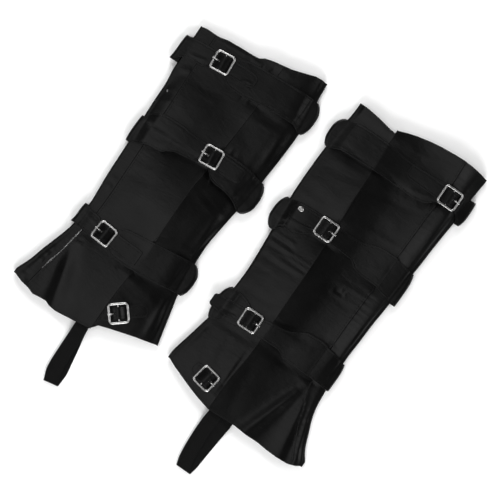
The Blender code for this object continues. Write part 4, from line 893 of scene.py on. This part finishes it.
def add_object(name, data):
    """An object of the scene that shows this data."""
    made = bpy.data.objects.new(name, data)
    bpy.context.scene.collection.objects.link(made)
    return made


def add_piece(name, points, faces, material, worn=None, caps=()):
    """A named, outward-facing object in the row frame, from points in millimetres and four-sided faces.

    The sign of the volume inside the faces, summed about the piece's own middle, says whether they face outwards.
    """
    corners = points[faces] - points.mean(0)
    volume = sum((corners[:, 0] * np.cross(corners[:, i], corners[:, i + 1])).sum() for i in (1, 2))
    faces = faces.tolist() + [cap.tolist() for cap in caps]
    if volume < 0:
        faces = [face[::-1] for face in faces]
    mesh = bpy.data.meshes.new(name)
    mesh.from_pydata(((points - np.array([*CENTRE, 0.0])) * MM).tolist(), [], faces)
    mesh.shade_smooth()
    mesh.materials.append(material)
    if worn is not None:
        for layer, run in (("edge", WEAR_RUN), ("rim", RIM_RUN)):
            share = bell(worn, run).astype(np.float32)
            mesh.attributes.new(layer, "FLOAT", "POINT").data.foreach_set("value", share)
    piece = add_object(name, mesh)
    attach(piece, "root")
    return piece


def tube(line, side, up, sides, closed=False):
    """Points, outward faces and caps of a tube, or of a row of tubes: ovals set across each line of points.

    An oval's half axes are side and up, which turn about the line the same way everywhere: the cross product of side
    and up points back along it.
    """
    turn = np.arange(sides)[:, None] * 2 * math.pi / sides
    points = line[..., None, :] + side[..., None, :] * np.cos(turn) + up[..., None, :] * np.sin(turn)
    index = np.arange(points[..., 0].size).reshape(-1, *points.shape[-3:-1])
    here, ahead = (index, np.roll(index, -1, axis=1)) if closed else (index[:, :-1], index[:, 1:])
    faces = np.stack([here, ahead, np.roll(ahead, -1, axis=2), np.roll(here, -1, axis=2)], -1).reshape(-1, 4)
    return points.reshape(-1, 3), faces, [] if closed else [*index[:, 0], *index[:, -1, ::-1]]


def stitching(name, runs, material):
    """Stitches set out evenly along runs of surface points: short threads whose ends sink into the leather."""
    lines, sides, ups = [], [], []
    half = STITCH_LENGTH / 2
    share = np.linspace(-1, 1, STITCH_RINGS)[:, None]
    radius = STITCH_WIDE / 2 * (1 - STITCH_THINNING * share**4)
    for points, normals in runs:
        run = run_along(points)
        count = int(run[-1] // STITCH_PITCH)
        if count < 1:
            continue

        def sample(values, where):
            return np.stack([np.interp(where, run, values[:, i]) for i in range(3)], -1)

        at = (np.arange(count) + 0.5) * run[-1] / count
        reach = np.linalg.norm(sample(points, at + half) - sample(points, at - half), axis=1)
        at = at[reach > STRAIGHT_SHARE * STITCH_LENGTH]
        middle, normal = sample(points, at)[:, None], sample(normals, at)[:, None]
        ahead = unit(sample(points, at + half) - sample(points, at - half))[:, None]
        lines.append(middle + ahead * share * half + normal * (STITCH_RISE * (1 - share**2) - STITCH_SUNK))
        sides.append(np.cross(ahead, normal) * radius)
        ups.append(normal * radius)
    points, faces, caps = tube(*(np.concatenate(axes) for axes in (lines, sides, ups)), STITCH_SIDES)
    return add_piece(name, points, faces, material, caps=caps)


def declare(node):
    """Hides the imported node that a cloth piece replaces."""
    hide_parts(node)


# Where topstitching runs on a panel's or a strap's grid of points
PANEL_SEAMS = (STITCH_COLUMN, -1 - STITCH_COLUMN)
STRAP_SEAMS = (np.s_[2:-2, STITCH_COLUMN], np.s_[2:-2, -1 - STITCH_COLUMN])


def sew(node, outer, finishes, cloth, held, rests_on, seams=(), extras=(), **wall):
    surface = cloth_wall(f"{node}_cloth", outer, LEATHER, finishes[cloth], "leather", **wall)
    threads = [stitching(f"{node}_stitching", [(surface.points[seam], surface.normals[seam]) for seam in seams],
                         finishes["thread"])] if seams else []
    declare(node)


def grid_rows(low, high):
    """y of a panel's points: rows from its hem to its top edge, finely spaced at both."""
    fixed, share = spread(PANEL_ROWS)
    return low + fixed[:, None] + share[:, None] * (high - low)


def panel_grid(place, top_table, hem_table):
    """Solves x and y of a panel's top points: place(y) gives x, and the rows run from the hem to the top at that x."""
    y = grid_rows(hem_table[0].y, top_table[0].y)
    for _ in range(PANEL_ROUNDS):
        x = place(y)
        y = grid_rows(edge_at(hem_table, x), edge_at(top_table, x))
    return x, y


# The pieces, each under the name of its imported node


def wide_panel(cover, finishes):
    """The broad top panel, from the closure line to the seam."""

    def place(y):
        start = section_at(cover, "closure", y[:, 0]) + cover.shin * stops_short(cover.closure_lap)
        end = section_at(cover, "seam", y[:, 0]) - cover.shin * stops_short(cover.seam_lap)
        return start[:, None] + cover.shin * across_width(np.abs(end - start), WIDE_COLUMNS)

    x, y = panel_grid(place, cover.wide_top, cover.wide_hem)
    outer = np.stack([x, y, dressed_height(cover, x, y, cover.seam_lap, cover.closure_lap)], -1)
    sew(f"{cover.name}_wide_panel", outer, finishes, "leather", "laid", f"{cover.name}_under_panel_cloth",
        (np.s_[:, STITCH_COLUMN], *PANEL_SEAMS), flip=cover.shin < 0, level=True)


def side_piece(cover, name, start_name, edge_name, outward, inside, tables, sides, finishes, cloth="leather",
               extras=()):
    """A panel from a seam on top, round a side edge and a little way under the body."""
    near = np.array(EDGE_STEPS)

    def place(y):
        start = section_at(cover, start_name, y[:, 0]) + outward * stops_short(sum(sides))
        end = section_at(cover, edge_name, y[:, 0]) - outward * FOLD_RADIUS
        share = np.linspace(0, 1, inside + 1)[1:]
        width = np.abs(end - start)[:, None]
        return start[:, None] + outward * np.concatenate(
            [np.broadcast_to(near, (len(y), len(near))), near[-1] + share * (width - near[-1])], axis=1)

    x, y = panel_grid(place, *tables)
    z = dressed_height(cover, x, y, *sides)
    arc_x, arc_z = side_arc(x[:, -1] + outward * FOLD_RADIUS, outward, FOLD_RADIUS, UNDER_Z, ARC_STEPS)
    end_x = arc_x[:, -1:] - outward * np.linspace(0, 1, UNDER_STEPS)[1:] * (UNDER_LAP - FOLD_RADIUS)
    x = np.concatenate([x, arc_x, end_x], axis=1)
    z = np.concatenate([z, arc_z, np.full_like(end_x, UNDER_Z)], axis=1)
    y = np.concatenate([y, np.repeat(y[:, -1:], x.shape[1] - y.shape[1], axis=1)], axis=1)
    sew(f"{cover.name}_{name}", np.stack([x, y, z], -1), finishes, cloth, "laid",
        f"{cover.name}_under_panel_cloth", PANEL_SEAMS, extras, flip=outward < 0)
    return x[:, -1:], y[:, -1:]


def under_panel(cover, calf_end, shin_end, finishes):
    """The panel between the ends of the two side pieces, which the cover lies on, with a few shallow creases."""
    calf_x, shin_x = calf_end[0] + cover.shin * SCENE_GAP, shin_end[0] - cover.shin * SCENE_GAP
    share = np.linspace(0, 1, UNDER_COLUMNS)[None, :]
    x = calf_x + share * (shin_x - calf_x)
    y = grid_rows(edge_at(cover.wide_hem + cover.narrow_hem, x[:1]), edge_at(cover.wide_top + cover.narrow_top, x[-1:]))
    y = np.concatenate([calf_end[1], y[:, 1:-1], shin_end[1]], axis=1)
    hollow = UNDER_HOLLOW * np.sin(y / HOLLOW_PITCH_Y + x / HOLLOW_PITCH_X) ** 2 * np.sin(math.pi * share)
    sew(f"{cover.name}_under_panel", np.stack([x, y, UNDER_Z + hollow], -1), finishes, "leather", "laid", "table_top",
        flip=cover.shin > 0)


def strap_points(cover, belt, x, y, rise):
    """Outer points of a strap on the body, with its own creases and what it rises besides, in the buckle."""
    x, y = np.broadcast_arrays(x, y)
    z = strap_height(cover, belt.number, x, y) + rise(x, y) + crease_rise(cover.creases, belt.number, x, y)
    return np.stack([x, y, z], -1)


def strap_top(cover, belt, x, stations, rise):
    """Rows of a strap's outer points at each x, between the edges that its stations give."""
    low, high = strap_edges(stations, x)
    return strap_points(cover, belt, x[:, None], low[:, None] + across_width(high - low, STRAP_COLUMNS), rise)


def turn_edge(cover, turn, outward, share):
    """x and y of the outline of a belt's turn, which always clears the body's edge."""
    y = turn.y_low + share * (turn.y_high - turn.y_low)
    end = np.where(share < 0.5, turn.low, turn.high)
    x = end + (turn.middle - end) * (1 - np.abs(2 * share - 1) ** TURN_FULLNESS) ** (1 / TURN_DEPTH)
    body = section_at(cover, "shin_edge" if outward == cover.shin else "calf_edge", y)
    return outward * np.maximum(outward * x, outward * body + LOOP_CLEARANCE), y


def steps_between(first, last, count):
    """Rows of points from one row, left out, to another."""
    share = (np.arange(count) + 1.0) / count
    return first[None] + share[:, None, None] * (last - first)[None]


def turn_rows(turn):
    """Distances across a belt's turn, from its lower edge."""
    return across_width(np.array([turn.y_high - turn.y_low]), STRAP_COLUMNS)[0]


def turn_and_under(cover, belt, turn, outward, last_top, reach):
    """A belt's rows from its last row on top, round the side and along the underside to its end."""
    share = turn_rows(turn) / (turn.y_high - turn.y_low)
    edge_x, edge_y = turn_edge(cover, turn, outward, share)
    start_x = edge_x - outward * LOOP_RADIUS
    start = np.stack([start_x, edge_y, strap_height(cover, belt.number, start_x, edge_y)], -1)
    bridge_x = np.abs(start[:, 0] - last_top[:, 0]).max()
    bridge = steps_between(last_top, start, max(1, math.ceil(bridge_x / STRAP_STEP)))
    seat = strap_height(cover, belt.number, bridge[..., 0], bridge[..., 1])
    settle = np.linspace(0, 1, len(bridge) + 1)[1:, None]
    bridge[..., 2] = seat + (last_top[:, 2] - seat[0])[None] * (1 - settle)
    arc_x, arc_z = side_arc(edge_x, outward, LOOP_RADIUS, 0.0, ARC_STEPS)
    arc = np.stack([arc_x.T, np.broadcast_to(edge_y, arc_x.T.shape), arc_z.T], -1)
    end = np.stack([np.full(len(share), turn.middle - outward * reach), edge_y, np.zeros(len(share))], -1)
    return [bridge, arc, steps_between(arc[-1], end, UNDER_STEPS)]


def no_rise(x, y):
    """A strap that simply lies on the body."""
    return 0.0


def fine_places(first, last, breaks=()):
    """x along a strap from one end to the other: finely spaced at both ends, with given places among them."""
    length = abs(last - first)
    ends = np.array(STRAP_ENDS)
    fixed = np.array([abs(place - first) for place in breaks])
    inner = np.linspace(0, length, max(2, round(length / STRAP_STEP)))[1:-1]
    inner = inner[np.minimum(inner, length - inner) > 0.6 * EDGE_STEPS[-1]]
    inner = inner[(np.abs(inner[:, None] - fixed) > STRAP_STEP / 3).all(1)]
    return first + math.copysign(1, last - first) * np.unique(np.concatenate([ends, inner, fixed, length - ends]))


def finish_strap(cover, belt, part, outer, flip, finishes, rests_on, **more):
    """Sews one part of a belt."""
    sew(f"{cover.name}_strap{belt.number}_{part}", outer, finishes, "leather_along", "folded", rests_on, STRAP_SEAMS,
        flip=flip, grooved=True, **more)


def pad_piece(cover, belt, finishes):
    """The part of a belt that holds the buckle: from under the bar round the shin edge to the underside."""
    top = strap_top(cover, belt, fine_places(belt.pad[0].x, belt.pad[-1].x), belt.pad, no_rise)
    rest = turn_and_under(cover, belt, belt.shin_turn, cover.shin, top[-1], BELT_REACH)
    finish_strap(cover, belt, "pad", np.concatenate([top, *rest]), cover.shin > 0, finishes,
                 f"{cover.name}_narrow_panel_cloth")


def through_buckle(belt, shin):
    """The tongue's stations with those inside the buckle's frame worked out from its width and turn."""
    slope = math.tan(math.radians(belt.angle))
    inside = []
    for along in BUCKLE_STATIONS:
        middle = belt.buckle[1] + shin * along * slope
        half = TONGUE_WIDTH / 2 + (TONGUE_FLARE if abs(along) > BUCKLE_SIZE / 2 - 1 else 0.0)
        inside.append(Station(belt.buckle[0] + shin * along, middle - half, middle + half))
    clear = [row for row in belt.tongue if abs(row.x - belt.buckle[0]) > BUCKLE_SIZE / 2 + 0.5]
    return sorted(clear + inside, key=lambda row: -shin * row.x)


def strap_turn(cover, angle):
    """The angle from +X of a strap's direction towards its pad, from the angle that its table gives."""
    return math.radians(angle if cover.shin > 0 else 180 + angle)


def bar_rise(along):
    """Rise of a tongue at this distance from its buckle's bar."""
    return curve(BAR_PASS, "along", "rise", along)


def prong_slot(places, slot, outer):
    """The rows and columns of a tongue's grid that the slot for the prong takes out."""
    middle = outer.shape[1] // 2
    return sorted(int(np.abs(places - place).argmin()) for place in slot), (middle - 2, middle + 1)


def tongue_piece(cover, belt, finishes):
    """The part of a belt that runs through the buckle, with its wide end on the calf side."""
    turn = strap_turn(cover, belt.angle)

    def rise(x, y):
        return bar_rise((x - belt.buckle[0]) * math.cos(turn) + (y - belt.buckle[1]) * math.sin(turn))

    stations = through_buckle(belt, cover.shin)
    slot_x = [belt.buckle[0] + cover.shin * along for along in SLOT_ROWS]
    x = fine_places(stations[0].x, stations[-1].x, slot_x)
    outer = strap_top(cover, belt, x, stations, rise)
    hole = prong_slot(x, slot_x, outer)
    if not belt.band:
        rest = turn_and_under(cover, belt, belt.calf_turn, -cover.shin, outer[-1], BELT_REACH)
        outer = np.concatenate([outer, *rest])
    extras = [eyelet(cover, finishes)] if cover.shin < 0 and belt.number == 2 else []
    finish_strap(cover, belt, "tongue", outer, cover.shin < 0, finishes, f"{cover.name}_wide_panel_cloth", hole=hole,
                 extras=extras)


def under_row(turn, outward, reach):
    """The row of points where a belt piece ends under the body."""
    y = turn.y_low + turn_rows(turn)
    return np.stack([np.full_like(y, turn.middle - outward * reach), y, np.zeros_like(y)], -1)


def band_piece(cover, belt, finishes):
    """The belt's band under the body, which on two belts also comes up round the calf edge to meet the strap."""
    reach = BELT_REACH + LAP_GAP
    shin_end = under_row(belt.shin_turn, cover.shin, reach)
    calf_end = under_row(belt.calf_turn, -cover.shin, reach)
    grids = [calf_end[None]]
    if belt.band:
        behind = belt._replace(number=belt.number + 10)
        top = strap_top(cover, behind, fine_places(belt.band[0].x, belt.band[-1].x), belt.band, no_rise)
        grids = [top, *turn_and_under(cover, behind, belt.calf_turn, -cover.shin, top[-1], reach)]
    grids.append(steps_between(calf_end, shin_end, BAND_STEPS))
    finish_strap(cover, belt, "band", np.concatenate(grids), cover.shin < 0, finishes, "table_top")


def buckle_axes(cover, number, buckle, angle, tilt):
    """Place and axes of a buckle: along the strap to the pad, across it, and off the panel."""
    turn = strap_turn(cover, angle)
    along = np.array([math.cos(turn), math.sin(turn)])
    across = np.array([-math.sin(turn), math.cos(turn)])

    def height(direction, distance):
        place = np.array(buckle) + direction * distance
        return float(seat_height(cover, number, place[:1], place[1:])[0])

    def slope(direction):
        return (height(direction, WIRE_REACH) - height(direction, -WIRE_REACH)) / (2 * WIRE_REACH)

    x_axis = unit(np.array([*along, slope(along) + tilt]))
    z_axis = unit(np.cross(x_axis, np.array([*across, slope(across)])))
    return np.array([*buckle, height(along, 0.0)]), np.stack([x_axis, np.cross(z_axis, x_axis), z_axis])


def metal_piece(node, tubes, place, axes, finishes):
    """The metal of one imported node: tubes in a buckle's own axes, put in its place."""
    starts = np.cumsum([0] + [len(points) for points, _, _ in tubes])
    points = np.concatenate([points for points, _, _ in tubes])
    faces = np.concatenate([faces + start for (_, faces, _), start in zip(tubes, starts)])
    caps = [cap + start for (_, _, caps), start in zip(tubes, starts) for cap in caps]
    piece = add_piece(f"{node}_metal", place + points @ axes, faces, finishes["metal"], caps=caps)
    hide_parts(node)


def frame_ring():
    """A square ring of oval wire with rounded corners and straight sides between them."""
    radius = CORNER_RADIUS - WIRE_WIDE / 2
    middles = math.pi / 4 + np.arange(4) * math.pi / 2
    turn = (middles[:, None] + math.pi / 2 * (np.linspace(0, 1, CORNER_STEPS + 1) - 0.5))[..., None]
    centres = np.sign([np.cos(middles), np.sin(middles)]).T[:, None] * (WIRE_REACH - radius)
    flat = (centres + radius * np.concatenate([np.cos(turn), np.sin(turn)], -1)).reshape(-1, 2)
    line = np.column_stack([flat, np.full(len(flat), FRAME_HEIGHT)])
    up = np.array([0.0, 0.0, WIRE_HIGH / 2])
    side = unit(np.cross(np.roll(line, -1, axis=0) - np.roll(line, 1, axis=0), up)) * WIRE_WIDE / 2
    return tube(line, side, up, WIRE_SIDES, closed=True)


def bar_rod():
    """The round centre bar, across the strap."""
    y = np.linspace(-WIRE_REACH, WIRE_REACH, BAR_RINGS)
    line = np.stack([np.zeros(BAR_RINGS), y, np.full(BAR_RINGS, BAR_HEIGHT)], -1)
    return tube(line, np.array([BAR_DIAMETER / 2, 0.0, 0.0]), np.array([0.0, 0.0, BAR_DIAMETER / 2]), WIRE_SIDES)


def prong_wire():
    """A flat oval section carried along the prong's bent middle line, rounded at its tip."""
    knots = np.array(PRONG_LINE)
    run = run_along(knots)
    at = np.linspace(0, run[-1], PRONG_RINGS)
    zero = np.zeros(PRONG_RINGS)
    line = np.stack([through(at, run, knots[:, 0]), zero, through(at, run, knots[:, 1])], -1)
    tip = np.clip((at - run[-1] + PRONG_TIP - PRONG_CUT) / PRONG_TIP, 0, 1)
    taper = np.linspace(1.0, PRONG_TAPER, PRONG_RINGS) * np.sqrt(1 - tip**2)
    side = np.stack([zero, -PRONG_WIDE / 2 * taper, zero], -1)
    up = unit(np.cross(np.gradient(line, axis=0), [0.0, 1.0, 0.0])) * PRONG_HIGH / 2
    return tube(line, side, up * np.maximum(taper, PRONG_END)[:, None], PRONG_SIDES)


def buckle_piece(cover, number, label, buckle, angle, tilt, finishes):
    """A square frame with its centre bar, and the prong as a node of its own."""
    spot, axes = buckle_axes(cover, number, buckle, angle, tilt)
    node = f"{cover.name}_{label}"
    metal_piece(f"{node}_buckle", [frame_ring(), bar_rod()], spot, axes, finishes)
    metal_piece(f"{node}_prong", [prong_wire()], spot, axes, finishes)


def instep_strap(cover, finishes):
    """The short strap from the seam by the hem through the fourth buckle, with a rounded tip."""
    strap = cover.instep
    turn = strap_turn(cover, strap.angle)
    along_x, along_y = math.cos(turn), math.sin(turn)
    across_x, across_y = -cover.shin * along_y, cover.shin * along_x
    start = (strap.seam_x - strap.buckle[0]) / along_x
    middle = fine_places(start, strap.tip, SLOT_ROWS)
    width = strap.width * curve(INSTEP_TIP, "back", "width", strap.tip - middle)
    across = across_width(width, STRAP_COLUMNS) - width[:, None] / 2
    cut = (strap.seam_x - strap.buckle[0] - across_x * across[:1]) / along_x
    settled = smooth_step((middle[:, None] - start) / (SLOT_ROWS[0] - INSTEP_SETTLES - start))
    along = middle[:, None] + (cut - start) * (1 - settled)
    x = strap.buckle[0] + along_x * along + across_x * across
    y = strap.buckle[1] + along_y * along + across_y * across
    z = strap_height(cover, 0, x, y) + bar_rise(along)
    z = z - PAD_LIFT * smooth_step((along - INSTEP_DROP) / INSTEP_DROP_RUN)
    sew(f"{cover.name}_instep_strap", np.stack([x, y, z], -1), finishes, "leather_along", "laid",
        f"{cover.name}_narrow_panel_cloth", STRAP_SEAMS, flip=cover.shin > 0, grooved=True,
        hole=prong_slot(middle, SLOT_ROWS, x))
    buckle_piece(cover, 0, "instep", strap.buckle, strap.angle, 0.0, finishes)


def stirrup_piece(cover, finishes):
    """The folded elastic loop: its upper layer comes from inside the hem, turns at the fold and goes back below."""
    knots = np.arange(len(cover.stirrup), dtype=float)
    fine = np.linspace(0, knots[-1], STIRRUP_ROWS)
    share = np.linspace(0, 1, STIRRUP_COLUMNS)

    def carried(table, name):
        return through(fine, knots, column(table, name))[:, None]

    slant = (share - 0.5) * (STIRRUP_SLANT if cover.shin > 0 else 0.0) * (fine[:, None] / knots[-1]) ** 4
    y = carried(cover.stirrup, "y") + slant

    def layer(name):
        left, right = (carried(cover.stirrup, f"{name}_{edge}") for edge in ("left", "right"))
        return np.stack(np.broadcast_arrays(left + share * (right - left), y, carried(STIRRUP_LIFTS, name)), -1)

    upper, lower = layer("upper"), layer("lower")
    radius = STIRRUP_LIFTS[-1].upper / 2
    turn = np.linspace(0, math.pi, STIRRUP_ARC_STEPS + 1)[1:-1, None]
    fold = np.repeat(upper[-1:], len(turn), axis=0)
    fold[..., 1] -= radius * np.sin(turn)
    fold[..., 2] = radius + radius * np.cos(turn)
    node = f"{cover.name}_stirrup"
    surface = cloth_wall(f"{node}_cloth", np.concatenate([upper, fold, lower[::-1]]), ELASTIC, finishes["elastic"],
                         "elastic", flip=True)
    declare(node)


def tape_and_glint_piece(cover, name, table, count, finishes):
    """A stretch of pale tape colour on the left cover: the closure tape's pale edge beside the closure line, and also a
    small speck of painted glint on the closure strip.
    """
    y = np.linspace(table[-1].y, table[0].y, count)[:, None]
    x = curve(table, "y", "x", y) + TAPE_RAGGED * np.sin(y * TAPE_WAVES[0]) * np.sin(y * TAPE_WAVES[1])
    x, y = np.broadcast_arrays(x + np.linspace(-0.5, 0.5, TAPE_COLUMNS) * curve(table, "y", "width", y), y)
    z = seat_height(cover, 0, x, y) + TAPE_LIFT + TAPE_ROUGH * np.cos(x * TAPE_BUMPS[0] + y * TAPE_BUMPS[1])
    return cloth_wall(f"{cover.name}_closure_tape_{name}", np.stack([x, y, z], -1), TAPE_THICK, finishes["tape"],
                      "leather", cover.shin < 0).piece


def eyelet(cover, finishes):
    """The small oval metal eyelet by the tip of the right cover's second tongue."""
    place = np.array([EYELET.x]), np.array([EYELET.y])
    base = strap_points(cover, cover.belts[1], *place, no_rise)[0, 2] + PAD_LIFT
    ring = np.arange(EYELET_STEPS) * 2 * math.pi / EYELET_STEPS
    out = np.stack([EYELET.long / 2 * np.cos(ring), EYELET.wide / 2 * np.sin(ring), np.zeros(EYELET_STEPS)], -1)
    line = np.array([EYELET.x, EYELET.y, base + EYELET_SEAT * EYELET.high]) + (1 - EYELET_RIM) * out
    up = np.array([0.0, 0.0, EYELET_ROUND * EYELET.high])
    points, faces, _ = tube(line, EYELET_RIM * out, up, EYELET_SIDES, closed=True)
    return add_piece(f"{cover.name}_strap2_eyelet", points, faces, finishes["metal"])


def build_cover(cover, finishes):
    """All the pieces of one cover."""
    wide_panel(cover, finishes)
    shin_end = side_piece(cover, "narrow_panel", "seam", "shin_edge", cover.shin, NARROW_COLUMNS,
                          (cover.narrow_top, cover.narrow_hem), (-cover.seam_lap, 0), finishes)
    # The tape's pale edge, and a speck of painted glint in the same pale colour on the closure strip
    extras = [tape_and_glint_piece(cover, "edge", TAPE_EDGE, TAPE_ROWS, finishes),
              tape_and_glint_piece(cover, "speck", PAINTED_GLINT_SPECK, SPECK_ROWS, finishes)] if cover.shin > 0 else []
    calf_end = side_piece(cover, "closure_strip", "closure", "calf_edge", -cover.shin, STRIP_COLUMNS,
                          (cover.wide_top, cover.wide_hem), (0, -cover.closure_lap), finishes,
                          # the right cover's closure strip takes the lit copy of the leather: more shine so that it
                          # shows lighter, a painted sheen
                          "leather_lit_strip" if cover.closure_lap else "leather", extras)
    under_panel(cover, calf_end, shin_end, finishes)
    for belt in cover.belts:
        pad_piece(cover, belt, finishes)
        tongue_piece(cover, belt, finishes)
        band_piece(cover, belt, finishes)
        buckle_piece(cover, belt.number, f"strap{belt.number}", belt.buckle, belt.angle, FRAME_TILT, finishes)
    instep_strap(cover, finishes)
    stirrup_piece(cover, finishes)


# Camera and light, in metres
VIEW_MIDDLE = (0.00904, 0.01863)
VIEW_TURN = 35.0         # the camera's turn about +Z, in degrees
VIEW_WIDTH = 0.640       # what the picture spans on the table
CAMERA_HEIGHT = 8.0
SENSOR = 36.0
FLOOR_HALF = 4.0


def add_floor(finishes):
    """The white table top under the belts."""
    corners = [(x * FLOOR_HALF, y * FLOOR_HALF, 0.0) for x, y in ((-1, -1), (1, -1), (1, 1), (-1, 1))]
    mesh = bpy.data.meshes.new("table_top")
    mesh.from_pydata(corners, [], [(0, 1, 2, 3)])
    mesh.materials.append(finishes["floor"])
    add_object("table_top", mesh)


def add_camera():
    """Looks straight down on the pair, turned so that the covers lie aslant as in the photo."""
    data = bpy.data.cameras.new("camera")
    data.sensor_width = SENSOR
    data.lens = SENSOR * CAMERA_HEIGHT / VIEW_WIDTH
    camera = add_object("camera", data)
    camera.location = (*VIEW_MIDDLE, CAMERA_HEIGHT)
    camera.rotation_euler = (0.0, 0.0, math.radians(VIEW_TURN))
    bpy.context.scene.camera = camera


# A wide lamp: where it stands, seen from the pair, how far, how broad and how bright
Lamp = namedtuple("Lamp", "name azimuth elevation distance size power")
LAMPS = rows(
    Lamp,
    ("key", 215.0, 72.0, 8.0, 5.2, 156.0),
    ("low_key", 215.0, 26.0, 2.8, 1.8, 22.0),
    ("fill", 35.0, 30.0, 2.8, 1.8, 30.0),
    ("far", 125.0, 26.0, 2.8, 1.8, 62.0),
    ("near", 305.0, 26.0, 2.8, 1.8, 78.0),
)
SKY = 0.05


def add_lights():
    """Broad soft lamps round the table and an even sky."""
    for lamp in LAMPS:
        data = bpy.data.lights.new(lamp.name, "AREA")
        data.shape = "DISK"
        data.size = lamp.size
        data.energy = lamp.power
        light = add_object(lamp.name, data)
        turn, rise = math.radians(lamp.azimuth), math.radians(lamp.elevation)
        away = Vector((math.cos(turn) * math.cos(rise), math.sin(turn) * math.cos(rise), math.sin(rise)))
        light.location = away * lamp.distance
        light.rotation_mode = "QUATERNION"
        light.rotation_quaternion = away.to_track_quat("Z", "Y")
    world = bpy.data.worlds.new("sky")
    world.use_nodes = True
    background = world.node_tree.nodes["Background"]
    background.inputs["Color"].default_value = (1.0, 1.0, 1.0, 1.0)
    background.inputs["Strength"].default_value = SKY
    bpy.context.scene.world = world
    bpy.context.scene.view_settings.view_transform = "Standard"


def main():
    """Builds the pair, its table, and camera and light."""
    finishes = {"leather": leather_finish("black_leather_cloth", 0.0),
                "leather_along": leather_finish("black_strap_leather", math.pi / 2),
                # The closure strip's leather is a lit copy of the same leather, given more shine so that the strip
                # shows lighter: painted sheen
                "leather_lit_strip": leather_finish("black_strip_leather", 0.0, 0.19),
                "elastic": elastic_finish(), "thread": thread_finish(), "metal": metal_finish(),
                # the tape's pale finish also colours the speck of painted glint on the strip
                "tape": tape_and_glint_finish(), "floor": floor_finish()}
    add_floor(finishes)
    for cover in (LEFT, RIGHT):
        build_cover(cover, finishes)
    add_camera()
    add_lights()


main()
